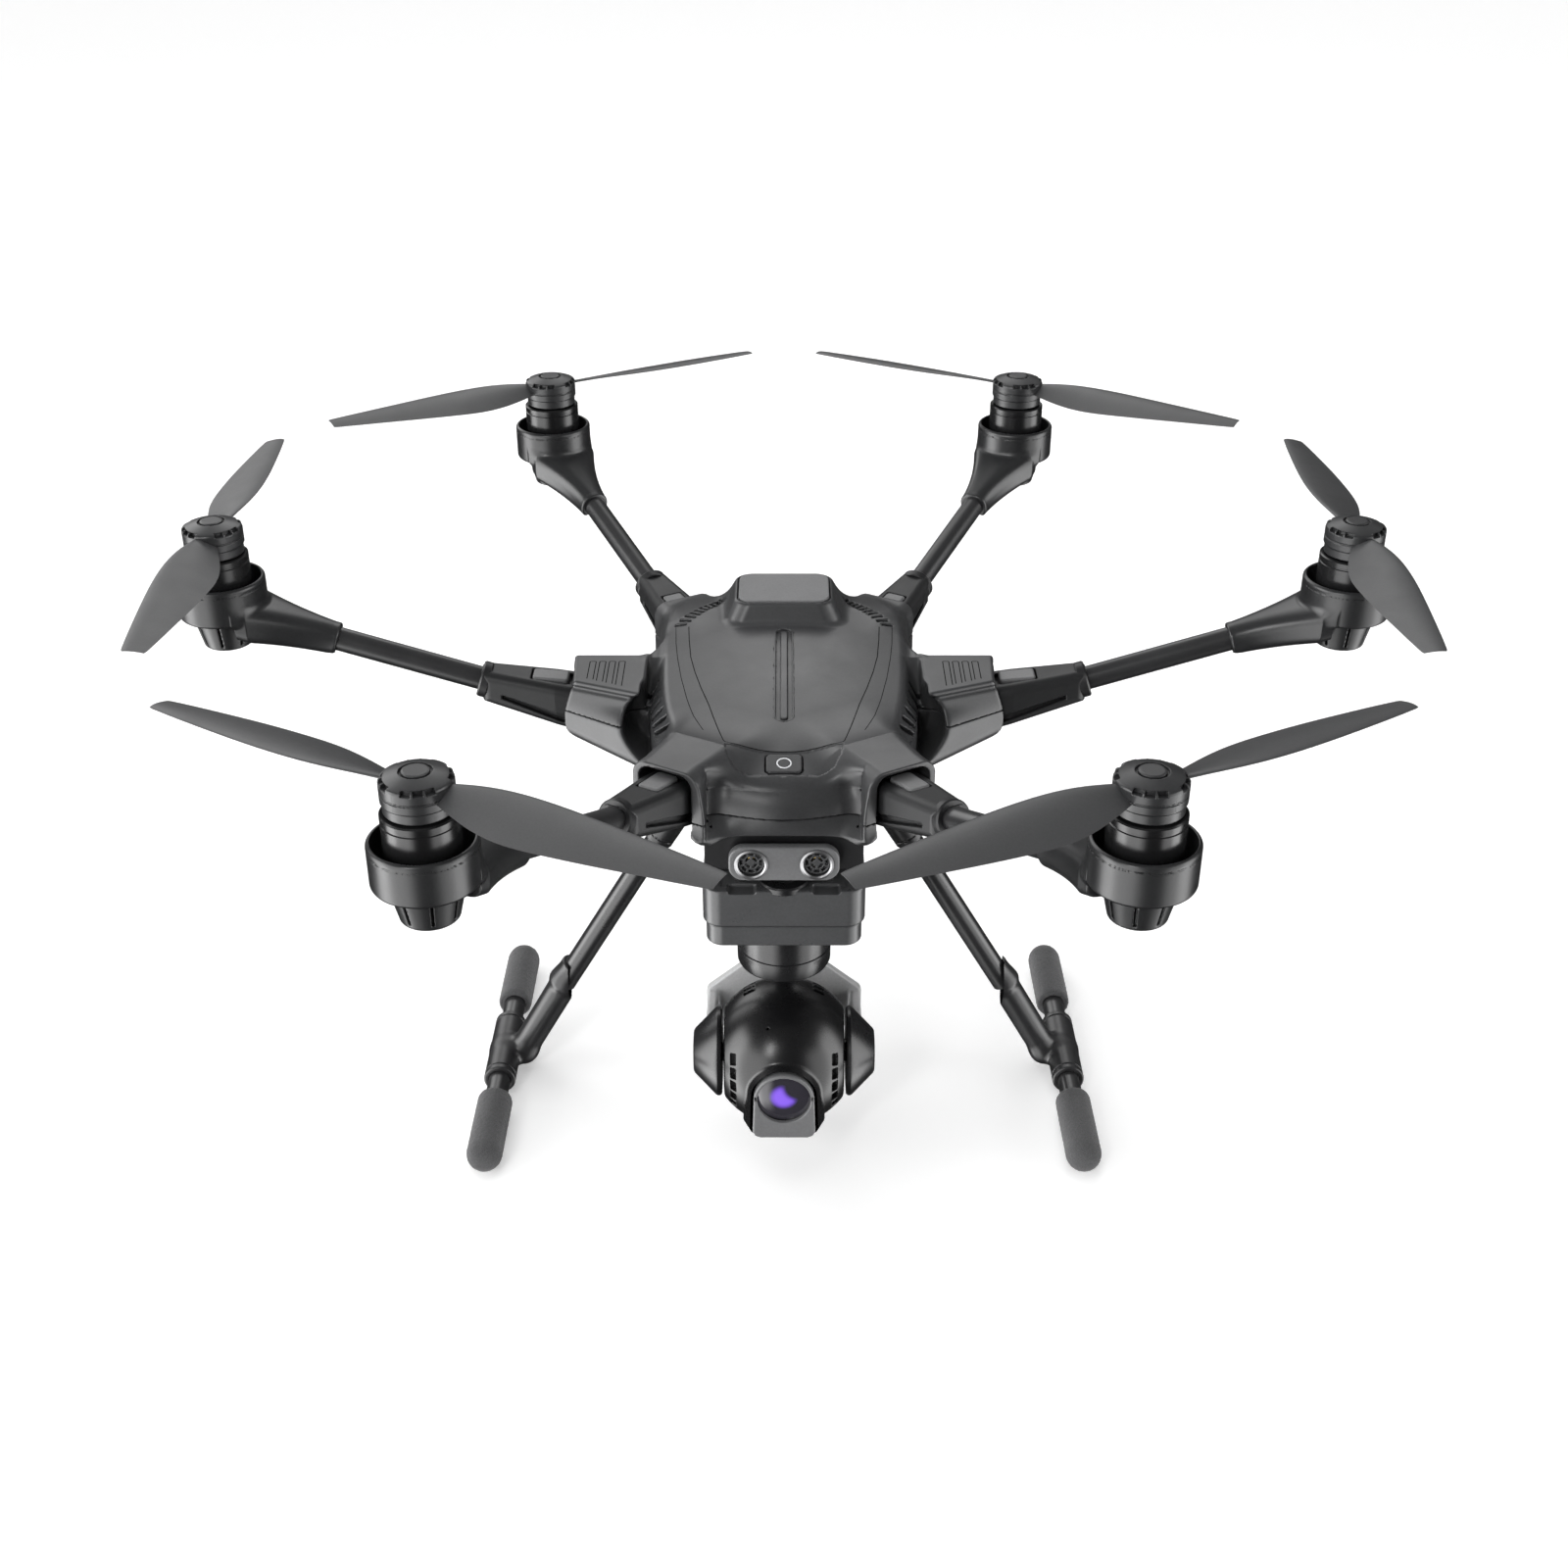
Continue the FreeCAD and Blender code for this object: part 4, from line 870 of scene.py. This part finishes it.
def pod_field(p):
    """Motor cup, its slitted cone below, and the neck that flares from the tube into the cup."""
    s, t, z = p.T
    radial = np.hypot(s - ROTOR, t)
    cup = corner(radial - 19.0, band(z, 8.45, 246.95), 1.6)
    h = np.clip((s - 193) / 34, 0, 1)
    centre = TUBE_Z + (s - TUBE_S) * math.tan(SLOPE) + h * 0.5
    wide = 7.1 + 9.4 * h ** 1.7
    tall = 7.2 + 1.4 * h
    bulge = 2.2 + 1.6 * h
    section = (np.abs(t) / wide) ** bulge + (np.abs(z - centre) / tall) ** bulge
    neck = ((section + 1e-9) ** (1 / bulge) - 1) * 6.3
    mouth = (192 - s) * math.cos(SLOPE) - (z - 225.7) * math.sin(SLOPE)
    f = smin(cup, np.maximum(smax(neck, mouth, 1.0), s - 232), 1.8)
    cone_r = np.interp(z, [224.4, 238.5], [10.3, 13.6])
    cone = corner((radial - cone_r) * 0.97, band(z, 7.6, 232), 0.8)
    v = around(np.arctan2(t, s - ROTOR), radial, 8)
    slit = np.maximum(np.maximum(band(v, 0.5), band(z, 5.2, 231.6)), 9.2 - radial)
    f = smin(f, carve(cone, slit, 0.3), 0.6)
    f = carve(f, corner(radial - 17.4, 240.6 - z, 1.5), 0.5)
    groove = np.maximum(band(radial, 0.35, 19.05), band(z, 0.25, 252.6))
    return carve(f, groove, 0.2)


def hub_field(p):
    """Propeller hub round its own axis at the origin, heights as in the row."""
    x, y, z = p.T
    r = np.hypot(x, y)
    lower = corner(r - 12.0, band(z, 2.6, 269.2), 0.4)
    top = 278.2 + 2.6 * np.clip((12.6 - r) / 7.4, 0, 1) ** 0.8
    upper = corner(r - 12.6, np.maximum((z - top) * 0.9, 270.3 - z), 0.7)
    f = smin(lower, upper, 0.3)
    f = carve(f, np.maximum(band(r, 0.4, 12.7), band(z, 0.28, 273.9)), 0.15)
    angle = np.arctan2(y, x)
    for centre in (-62, -42, -22, 22, 42, 62):
        v = around(angle - math.radians(centre), r, 2)
        slot = np.maximum(band(v, 1.7), band(z, 0.75, 278.0))
        f = carve(f, np.maximum(slot, 10.3 - r), 0.25)
    f = carve(f, np.maximum(band(r, 0.45, 5.2), 279.6 - z), 0.2)
    return smin(f, corner(r - 4.4, band(z, 2.0, 279), 0.4), 0.2)


def blade_mesh():
    """One blade along +y turning anticlockwise about the origin: rings of a cambered section."""
    rings, sides = 70, 40
    radii = np.linspace(BLADE[0][0], BLADE[-1][0], rings)
    columns = list(zip(*BLADE))
    chord, twist, thick, lead = [spline(radii, columns[0], column) for column in columns[1:]]
    points, faces = [], []
    for k, r in enumerate(radii):
        shrink = 1.0 if k < rings - 1 else 0.94
        t = math.radians(twist[k])
        for j in range(sides):
            a = 2 * math.pi * j / sides
            along = 0.5 - 0.5 * math.cos(a)
            camber = 0.11 * math.sin(math.pi * along ** 0.8)
            half = 0.5 * 2.6 * (math.sqrt(along) - along) * (1.15 - 0.5 * along)
            u = lead[k] - chord[k] * (0.5 + (along - 0.5) * shrink)
            v = chord[k] * camber * 0.45
            if abs(math.sin(a)) > 1e-9:
                v += thick[k] * half * math.copysign(1, math.sin(a)) * 0.8 * shrink
            points.append((v * math.sin(t) - u * math.cos(t), r, u * math.sin(t) + v * math.cos(t) + BLADE_Z))
    for k in range(rings - 1):
        for j in range(sides):
            a, b = k * sides + j, k * sides + (j + 1) % sides
            faces.append([a, b, b + sides, a + sides])
    faces.append(list(range(sides)))
    faces.append(list(range((rings - 1) * sides, rings * sides))[::-1])
    return np.array(points), faces


def build_propeller(arm, hub, blade, blade_faces):
    rotor = f"rotor_{arm}"
    points, quads, normals = hub
    points = points + np.array([ROTOR, 0, 0])
    solid(f"hub_{arm}", (points, quads, normals), rotor, "cap", (f"propeller_{arm}",), arm)
    mirror = -1 if arm in CLOCKWISE else 1
    for k, spin in enumerate((1, -1)):
        points = blade * np.array([spin * mirror, spin, 1]) + np.array([ROTOR, 0, 0])
        mesh = new_mesh(f"blade_{arm}_{k}", from_arm(points, arm), blade_faces)
        sharpen(mesh, 40)
        link(mesh, rotor, "blade")


def build_arms():
    fine = detail(0.5)
    knuckle = contour(knuckle_field, (70, -14, 178), (134, 14, 216), fine)
    latch = contour(latch_field, (91, -7, 201), (110, 7, 212), fine * 0.7)
    pod = contour(pod_field, (188, -21, 221), (262, 21, 258), fine * 1.1)
    hub = contour(hub_field, (-14, -14, 265), (14, 14, 283), fine * 0.7)
    blade, blade_faces = blade_mesh()
    collar = [(5.2, 0), (7.7, 0), (8.0, 0.4), (8.0, 3.4), (7.4, 4.1), (5.2, 4.1)]
    core = [(1.65, 240.6), (9, 240.6), (9, 242.2), (4, 242.2), (4, 245), (10.6, 245), (10.6, 257.5),
            (4, 257.5), (4, 259.5), (1.65, 259.5)]
    bell = [(1.6, 271.2), (0.01, 271.2), (0.01, 262), (11.6, 262), (11.6, 244), (13.0, 244), (13.4, 244.4),
            (13.4, 246.0), (13.1, 246.15), (13.1, 246.55), (13.4, 246.7), (13.4, 262.4), (13.0, 262.7),
            (13.0, 263.2), (13.4, 263.5), (13.4, 265.5), (12.9, 266), (1.6, 266)]
    out = (math.cos(SLOPE), 0, math.sin(SLOPE))
    for arm in ARMS:
        body = f"arm_{arm}"
        solid(f"knuckle_{arm}", knuckle, body, "knuckle", (f"arm_knuckle_{arm}",), arm)
        turned(f"knuckle_ring_{arm}", collar, tube_point(127.6), body, "black", (), out, arm)
        solid(f"latch_tab_{arm}", latch, f"latch_{arm}", "latch", (f"arm_latch_{arm}",), arm)
        pipe(f"tube_{arm}", tube_point(104), tube_point(212), body, (f"arm_tube_{arm}",), arm)
        solid(f"pod_{arm}", pod, body, "pod", (f"motor_pod_{arm}",), arm)
        turned(f"stator_{arm}", core, (ROTOR, 0, 0), body, "black", arm=arm)
        turned(f"bell_{arm}", bell, (ROTOR, 0, 0), f"rotor_{arm}", "can",
               (f"motor_bell_{arm}",), arm=arm)
        build_propeller(arm, hub, blade, blade_faces)


# ------------------------------------------------------------------ front sensor
def sonar_plate_field(p):
    x, y, z = p.T
    outline = corner(band(x, 22.6), band(z, 7.9, SONAR_Z), 6.3)
    plate = corner(outline, band(y, 2.1, -88.4), 0.8)
    hole = np.hypot(band(x, SONAR_X), z - SONAR_Z) - 6.75
    return carve(plate, np.maximum(hole, y + 86.9), 0.3)


def grille_field(p):
    """Two discs with two rings of slots each."""
    x, y, z = p.T
    u = np.where(x > 0, x - SONAR_X, x + SONAR_X)
    w = z - SONAR_Z
    r = np.hypot(u, w)
    angle = np.arctan2(w, u)
    disc = corner(r - 5.6, band(y, 0.5, -88.6), 0.15)
    for radius, count, half, offset in ((4.1, 8, 0.62, 0.0), (2.2, 4, 0.5, math.pi / 4)):
        v = around(angle, radius, count, offset)
        length = radius * 2 * math.pi / count * 0.34
        disc = carve(disc, corner(band(v, length), band(r, half, radius), 0.2), 0.12)
    return disc


def build_sonar():
    plate = contour(sonar_plate_field, (-26, -93, 161), (26, -82, 183), 0.5)
    solid("sonar_plate", plate, "airframe", "hood", ("sonar_bezel",))
    grilles = contour(grille_field, (-21, -90.5, 165), (21, -87, 180), 0.28)
    solid("sonar_grilles", grilles, "airframe", "tray", ("sonar_transducers",))
    rim = [(5.5, -0.4), (6.1, -0.9), (6.9, -0.6), (7.1, 0.2), (6.6, 1.4), (6.6, 5.6), (5.7, 5.6), (5.7, 0.6)]
    cone = [(0.01, 2.6), (1.0, 2.7), (1.3, 3.4), (4.6, 5.2), (4.8, 5.7), (0.01, 5.7)]
    for side, tag in SIDES:
        at = (side * SONAR_X, SONAR_Y, SONAR_Z)
        turned(f"sonar_rim_{tag}", rim, at, "airframe", "satin", axis=(0, 1, 0))
        turned(f"sonar_cone_{tag}", cone, at, "airframe", "brass", axis=(0, 1, 0), segments=48)


# ------------------------------------------------------------------ legs
def leg_point(distance, side):
    """Point on a leg's strut, measured from its hinge."""
    x = side * (LEG_X + distance * math.cos(LEG_ANGLE))
    return np.array([x, 0, LEG_Z - distance * math.sin(LEG_ANGLE)])


def foot_field(p, side):
    """Elbow from the strut into a collar round the skid tube, with a groove at each end."""
    x, y, z = p.T
    centre = np.array([side * SKID_X, 0, SKID_Z])
    collar = rod(p, centre - (0, 23, 0), centre + (0, 23, 0), 7.5, r=0.8)
    end, knee = leg_point(118, side), np.array([side * 127.0, 0, 9.5])
    elbow = rod(p, leg_point(106, side), end, 7.0, r=0.8)
    elbow = smin(elbow, capsule(p, end, knee, 6.8, 6.6), 5.0)
    elbow = smin(elbow, capsule(p, knee, centre, 6.6, 6.6), 4.0)
    f = smin(collar, elbow, 3.0)
    radial = np.hypot(x - centre[0], z - SKID_Z)
    groove = np.maximum(band(radial, 0.45, 7.6), band(np.abs(y), 0.35, 19.5))
    f = carve(f, groove, 0.2)
    f = carve(f, radial - 5.25, 0.2)
    return np.maximum(f, 0.35 - z)


def leg_head_field(p, side):
    """Hinge hub and the socket of the strut, with a groove round the socket."""
    x, _, z = p.T
    hub = rod(p, (side * LEG_X, -7.9, LEG_Z), (side * LEG_X, 7.9, LEG_Z), 8.0, r=1.0)
    socket = rod(p, leg_point(0, side), leg_point(25, side), 7.4, 6.9, 0.8)
    f = smin(hub, socket, 3.0)
    ring = rod(p, leg_point(21.0, side), leg_point(21.8, side), 9.0, r=0.1)
    core = rod(p, leg_point(-30, side), leg_point(60, side), 0.01)
    f = carve(f, np.maximum(ring, 6.6 - core), 0.2)
    return carve(f, np.hypot(x - side * LEG_X, z - LEG_Z) - PIN_BORE, 0.2)


def build_grip(side, tag, way, end):
    """Foam sleeve with a domed end; its pores are a fine displacement of the mesh."""
    profile = [(0.0, 76.5), (5.25, 76.5), (5.25, 38.0), (7.2, 38.0), (7.9, 38.5), (8.2, 39.4)]
    profile += [(8.25, h) for h in np.linspace(40, 76, 60)]
    profile += [(8.25 * math.cos(a) ** 0.7, 76 + 8 * math.sin(a)) for a in np.linspace(0.05, 1.45, 16)]
    profile += [(0.0, 84.0)]
    replaced = (f"{tag}_foam_grips",) if end == "rear" else ()
    start = (side * SKID_X, 0, 8.25)
    grip = turned(f"foam_{tag}_{end}", profile, start, f"leg_{tag}", "foam", replaced, (0, way, 0),
                  segments=120)
    texture = bpy.data.textures.new(f"pores_{tag}_{end}", "CLOUDS")
    texture.noise_scale = 0.0011
    texture.noise_depth = 1
    bumps = grip.modifiers.new("pores", "DISPLACE")
    bumps.texture = texture
    bumps.strength = 0.00035
    bumps.mid_level = 0.9
    bumps.texture_coords = "LOCAL"


def build_legs():
    fine = detail(0.55)
    for side, tag in SIDES:
        body = f"leg_{tag}"
        lo, hi = sorted((side * 104.0, side * 146.0))
        foot = contour(lambda p: foot_field(p, side), (lo, -26, -1), (hi, 26, 70), fine)
        solid(f"leg_foot_{tag}", foot, body, "fitting", (f"{tag}_leg_fittings",))
        lo, hi = sorted((side * 34.0, side * 70.0))
        head = contour(lambda p: leg_head_field(p, side), (lo, -11, 120), (hi, 11, 161), fine)
        solid(f"leg_head_{tag}", head, body, "fitting")
        pipe(f"strut_{tag}", leg_point(13, side), leg_point(118, side), body, (f"{tag}_leg_tubes",),
             outer=5.3)
        pipe(f"skid_{tag}", (side * SKID_X, -76, SKID_Z), (side * SKID_X, 76, SKID_Z), body)
        for way, end in ((1, "rear"), (-1, "front")):
            build_grip(side, tag, way, end)


# ------------------------------------------------------------------ gimbal
def jaw_outline(x, z, half, grow=0.0):
    """Arch over the lens running down into a flat-bottomed jaw."""
    arch = np.hypot(x, z - LENS_Z) - half
    right = [(half - 2.8, 25.4), (half - 0.5, 26.4), (half + 0.6, 28.6), (half, LENS_Z)]
    jaw = polygon(x, z, [(-u, v) for u, v in right[::-1]] + right)
    return np.minimum(arch, jaw) - grow


def head_field(p):
    """Camera ball with flat sides, the shoulder round the lens, cooling slots and the pitch bore."""
    x, y, z = p.T
    ahead, above = CAM[1] - y, z - CAM[2]
    ball = smax(np.linalg.norm(p - CAM, axis=1) - 33.9, band(x, 27.0), 0.8)
    back = np.clip((y + 87) / 11, 0, 1)
    shoulder = jaw_outline(x, z, 13.4, 4.3 * back) * 0.93
    shoulder = smax(smax(shoulder, y + 60, 1.0), -85.6 - y, 0.6)
    shoulder = smax(shoulder, 26.2 - z, 1.0)
    f = smin(ball, shoulder, 0.8)
    angle = np.arctan2(above, ahead)
    away = np.hypot(ahead, above)
    for degrees in range(-32, 29, 15):
        run = band(angle, 0, math.radians(degrees)) * away
        slot = corner(run - 2.6, band(np.abs(x), 1.2, 22.6), 0.4)
        f = carve(f, np.maximum(slot, 23 - away), 0.3)
    for degrees in range(98, 126, 9):
        run = band(angle, 0, math.radians(degrees)) * away
        slot = corner(band(np.abs(x), 2.4, 15.5), run - 1.4, 0.4)
        f = carve(f, np.maximum(slot, 27 - away), 0.3)
    hole = np.hypot(x + 7.1, above * 0.59 - ahead * 0.81) - 0.6
    f = carve(f, np.maximum(hole, 60 - z), 0.1)
    f = carve(f, np.maximum(away - 5.06, 22 - np.abs(x)), 0.2)
    return carve(f, np.maximum(np.hypot(x, z - LENS_Z) - 12.8, y + 74), 0.3)


def hood_field(p):
    """Bezel in front of the lens, leaning back a little, with a notch at each side."""
    x, y, z = p.T
    lean = y - HOOD_Y - (z - 40) * 0.03
    f = corner(jaw_outline(x, z, 13.4), band(lean, 2.4, 2.4), 0.9)
    f = carve(f, np.hypot(x, z - LENS_Z) - 11.9, 0.35)
    notch = np.maximum(band(z, 1.0, LENS_Z + 0.8), band(np.abs(x), 0.9, 12.1))
    return carve(f, np.maximum(notch, y - HOOD_Y - 2), 0.2)


def yoke_field(p):
    """Plate behind the camera with an arm forward on each side."""
    x, y, z = p.T
    ax = np.abs(x)
    outline = np.maximum(np.maximum(z - 69.5, 33 - z), ax - 35.8)
    outline = smax(outline, (ax - 18.2) * 0.64 + (z - 69.5) * 0.768, 1.0)
    outline = smax(outline, (ax - 31) * 0.69 - (z - 33) * 0.724, 2.0)
    plate = corner(outline, band(y, 2.1, -11.6), 0.7)
    arm = rbox(np.stack([ax, y, z], 1), (33.4, -30, 46), (2.4, 20, 8.4), 1.5)
    return smin(plate, arm, 2.0)


def yaw_field(p):
    """Arm from the yaw drum back and down to the roll motor."""
    x, y, z = p.T
    side = [(-50, 98.4), (-50, 103.2), (7, 103.2), (10.5, 101.8), (12, 98), (12, 46), (7, 46), (7, 94.5),
            (5.5, 97.3), (2.5, 98.4)]
    width = 9.6 + 1.2 * np.clip((y + 20) / 30, 0, 1)
    f = corner(polygon(y, z, side), np.abs(x) - width, 1.2)
    f = smin(f, rod(p, (0, -8.8, CAM[2]), (0, 13.4, CAM[2]), 14.0, r=1.6), 1.5)
    radial = np.hypot(x, z - CAM[2])
    f = carve(f, np.maximum(band(radial, 0.5, 14.1), band(y, 0.35, 4.0)), 0.2)
    return carve(f, np.maximum(radial - 4.06, y - 6), 0.1)


def tray_field(p):
    """Stepped tray under the belly, with front notches, a sunk top and the yaw axis's bore."""
    x, y, z = p.T

    def tier(half_x, half_y, low, high, radius, rim):
        plan = corner(band(x, half_x), band(y, half_y, CAM[1]), radius)
        return corner(plan, band(z, (high - low) / 2, (low + high) / 2), rim)

    f = np.minimum(tier(34, 35.3, 137.5, 154.9, 8.0, 0.8), tier(31.5, 32.8, 136, 140, 7.0, 0.3))
    f = np.minimum(f, tier(32.7, 34.1, 126.9, 136.9, 7.4, 1.2))
    for side, _ in SIDES:
        f = carve(f, rbox(p, (side * 17.5, -84, 155.2), (5.8, 5.5, 1.7), 1.2), 0.3)
    f = carve(f, rbox(p, (0, -60, 157.2), (27, 22, 2.6), 1.5), 0.4)
    return carve(f, np.hypot(x, y - CAM[1]) - 6.06, 0.2)


def build_tray(fine):
    tray = contour(tray_field, (-37, -88, 126), (37, -12, 158), fine)
    solid("gimbal_tray", tray, "airframe", "tray", ("gimbal_mount",))
    disc = [(6.1, 153.2), (10.5, 153.2), (10.9, 153.6), (10.9, 155.8), (10.3, 156.5), (6.1, 156.5)]
    turned("gimbal_hub_disc", disc, (0, -75.5, 0), "airframe", "sidecap")
    bulb = [(0.0, 154.6), (3.0, 154.6), (3.2, 155.4), (2.4, 156.2)]
    for a in np.linspace(0.2, math.pi - 0.2, 12):
        bulb.append((2.4 + 2.0 * math.sin(a), 156.2 + 5.0 * a / math.pi))
    bulb += [(2.4, 161.4), (3.2, 162.0), (3.0, 162.6), (0.0, 162.6)]
    for k, (x, y) in enumerate(((18, -74), (-18, -74), (18, -26), (-18, -26))):
        replaced = () if k else ("gimbal_dampers",)
        turned(f"damper_{k}", bulb, (x, y, 0), "airframe", "rubber", replaced, segments=40)


def build_camera(fine):
    head = contour(head_field, (-30, -84, 12), (30, -16, 81), fine)
    solid("camera_ball", head, "camera", "ball", ("camera_head",))
    hood = contour(hood_field, (-18, -89, 22), (18, -78, 67), fine * 0.8)
    solid("camera_hood", hood, "camera", "hood")
    front, axis = (0, HOOD_Y, LENS_Z), (0, 1, 0)
    barrel = [(0.0, 11.5), (12.3, 11.5), (12.3, 1.6), (12.1, 1.3), (11.8, 1.5), (11.6, 2.6), (11.2, 4.8),
              (0.0, 5.4)]
    turned("lens_barrel", barrel, front, "camera", "sidecap", axis=axis)
    rim, sweep = 11.7, 0.5
    bulge = rim / math.sin(sweep)
    glass = [(0.0, 0.9)]
    for a in np.linspace(0.04, sweep, 16):
        glass.append((bulge * math.sin(a), 0.9 + bulge * (1 - math.cos(a)) * 0.45))
    glass += [(rim, 4.4), (0.0, 4.4)]
    turned("lens_glass", glass, front, "camera", "lens", ("camera_lens",), axis)


def build_gimbal():
    fine = detail(0.55)
    build_tray(fine)
    drum = [(0.0, 98.0), (18.7, 98.0), (19.9, 98.5), (20.5, 99.7), (20.6, 107.0), (20.1, 107.2),
            (20.1, 107.8), (20.6, 108.0), (20.6, 126.2), (20.1, 126.8), (0.0, 126.8)]
    turned("yaw_drum", drum, (0, CAM[1], 0), "gimbal_yaw", "motor", ("gimbal_yaw_arm",))
    drop = contour(yaw_field, (-16, -52, 30), (16, 16, 107), fine)
    solid("yaw_drop_arm", drop, "gimbal_yaw", "motor")
    yoke = contour(yoke_field, (-39, -52, 30), (39, -7, 73), fine)
    solid("roll_yoke", yoke, "gimbal_roll", "yoke", ("gimbal_roll_yoke",))
    cap = [(5.0, 28.2), (19.7, 28.2), (20.3, 28.8), (20.4, 30.0), (19.9, 30.9), (10.3, 40.4), (9.2, 41.0),
           (8.4, 41.05), (8.1, 40.8), (0.0, 40.8), (0.0, 26.0), (5.0, 26.0)]
    for side, tag in SIDES:
        turned(f"pitch_cap_{tag}", cap, CAM, "gimbal_roll", "sidecap", axis=(side, 0, 0))
    build_camera(fine)


# ------------------------------------------------------------------ battery
def battery_field(p):
    """Case with a grip pocket and five grooves in its back end."""
    x, y, z = p.T
    f = rbox(p, (0, BATTERY_Y, BATTERY_Z), (23.5, 62.75, 12.7), 2.8)
    f = carve(f, rbox(p, (0, 105, 201), (13, 4.5, 3.2), 1.2), 0.4)
    for i in range(5):
        groove = np.hypot(y - 104.2, z - 185.5 - 2.3 * i) - 0.9
        f = carve(f, np.maximum(groove, band(x, 15)), 0.3)
    return f


def build_battery():
    case = contour(battery_field, (-25, -24, 180), (25, 106, 210), 0.8)
    solid("battery_case", case, "battery", "pod", ("battery_pack",))


# ------------------------------------------------------------------ looks for CAD nodes that stay
def dress_cad():
    looks = {"main_board": "board", "hinge_pins": "steel", "leg_brackets": "fitting", "body_screws": "steel"}
    for node, look in looks.items():
        NODES[node].data.materials.clear()
        NODES[node].data.materials.append(M[look])


# ------------------------------------------------------------------ stage, in metres
# Azimuth from the front, half widths of the core and the edge, in degrees; strength; lowest and highest.
STRIPS = (
    (-52, 16, 34, 3.6, -0.75, 0.4),
    (-84, 8, 20, 6.0, -0.75, 0.5),
    (56, 10, 26, 2.4, -0.75, 0.4),
    (84, 8, 20, 4.5, -0.75, 0.5),
    (-22, 4, 14, 2.0, -0.7, 0.2),
    (-140, 10, 30, 2.4, 0.2, 0.7),
)
LIGHTS = (      # name, place, width and depth, watts, seen in reflections
    ("top", (-0.2, 0.3, 2.0), (2.2, 1.6), 18, False),
    ("front", (-0.75, -1.6, 1.25), (0.3, 0.6), 9, True),
)
AIM = Vector((0, 0, 0.15))


def floor_material():
    """White to the camera, with a little glow so that it stays white far away, and dim to everything else."""
    mat, tree, inputs = new_material("floor_white")
    inputs["Roughness"].default_value = 0.9
    inputs["Specular IOR Level"].default_value = 0.0
    inputs["Emission Color"].default_value = (1, 1, 1, 1)
    seen = tree.nodes.new("ShaderNodeLightPath").outputs["Is Camera Ray"]
    for target, low, high in (("Base Color", 0.12, 0.82), ("Emission Strength", 0.0, 0.36)):
        tree.links.new(map_range(tree, seen, 0, 1, low, high), inputs[target])
    return mat


def sky(tree):
    """Studio surroundings: a bright wall behind, upright strips all round, darkness elsewhere."""
    nodes, links = tree.nodes, tree.links
    split = nodes.new("ShaderNodeSeparateXYZ")
    links.new(nodes.new("ShaderNodeTexCoord").outputs["Generated"], split.inputs[0])
    x, y, z = split.outputs

    def ramp(value, start, stop, low, high):
        return map_range(tree, value, start, stop, low, high, True)

    def product(*factors):
        total = factors[0]
        for factor in factors[1:]:
            total = maths(tree, "MULTIPLY", total, factor)
        return total

    azimuth = maths(tree, "ARCTAN2", x, product(y, -1.0))

    def strip(centre, core, edge, strength, bottom, top):
        """Upright band of light with soft edges."""
        off = maths(tree, "ABSOLUTE", maths(tree, "SUBTRACT", azimuth, math.radians(centre)))
        across = ramp(off, math.radians(core), math.radians(edge), strength, 0.0)
        below = ramp(z, bottom - 0.15, bottom + 0.1, 0.0, 1.0)
        above = ramp(z, top - 0.1, top + 0.15, 1.0, 0.0)
        return product(across, below, above)

    wall = product(ramp(y, 0.2, 0.8, 0.0, 3.0), ramp(z, 0.6, 1.0, 1.0, 0.3), ramp(z, 0.28, 0.55, 0.02, 1.0),
                   ramp(maths(tree, "ABSOLUTE", x), 0.0, 0.28, 1.0, 0.12))
    ambient = ramp(z, -0.1, 1.0, 0.035, 0.14)
    total = maths(tree, "ADD", wall, ambient)
    for numbers in STRIPS:
        total = maths(tree, "ADD", total, strip(*numbers))
    seen = nodes.new("ShaderNodeMix")
    links.new(nodes.new("ShaderNodeLightPath").outputs["Is Camera Ray"], seen.inputs["Factor"])
    links.new(total, seen.inputs["A"])
    seen.inputs["B"].default_value = 1.0
    back = nodes["Background"].inputs
    links.new(seen.outputs["Result"], back["Strength"])
    back["Color"].default_value = (1, 1, 1, 1)


def lay_floor():
    big = 30.0
    mesh = bpy.data.meshes.new("floor")
    mesh.from_pydata([(-big, -big, 0), (big, -big, 0), (big, big, 0), (-big, big, 0)], [], [(0, 1, 2, 3)])
    mesh.materials.append(floor_material())
    floor = bpy.data.objects.new("floor", mesh)
    bpy.context.scene.collection.objects.link(floor)
    floor.visible_glossy = False
    floor.visible_diffuse = False


def hang_lights():
    for name, at, size, power, mirrored in LIGHTS:
        data = bpy.data.lights.new(name, "AREA")
        data.shape = "RECTANGLE"
        data.size, data.size_y = size
        data.energy = power
        light = bpy.data.objects.new(name, data)
        light.location = at
        light.visible_glossy = mirrored
        light.rotation_euler = (AIM - Vector(at)).to_track_quat("-Z", "Y").to_euler()
        bpy.context.scene.collection.objects.link(light)


def set_camera():
    cam = bpy.data.cameras.new("camera")
    cam.lens, cam.sensor_width = 44.32, 36.0
    cam.clip_start, cam.clip_end = 0.05, 100
    view = bpy.data.objects.new("camera", cam)
    view.location = (0, -0.7564, 0.5865)
    view.rotation_euler = (math.radians(60.454), 0, 0)
    bpy.context.scene.collection.objects.link(view)
    bpy.context.scene.camera = view


def stage():
    lay_floor()
    world = bpy.data.worlds.new("studio")
    bpy.context.scene.world = world
    world.use_nodes = True
    sky(world.node_tree)
    hang_lights()
    set_camera()
    bpy.context.scene.view_settings.view_transform = "Standard"


dress_cad()
build_body()
build_seams()
build_trim()
build_arms()
build_sonar()
build_legs()
build_gimbal()
build_battery()
stage()
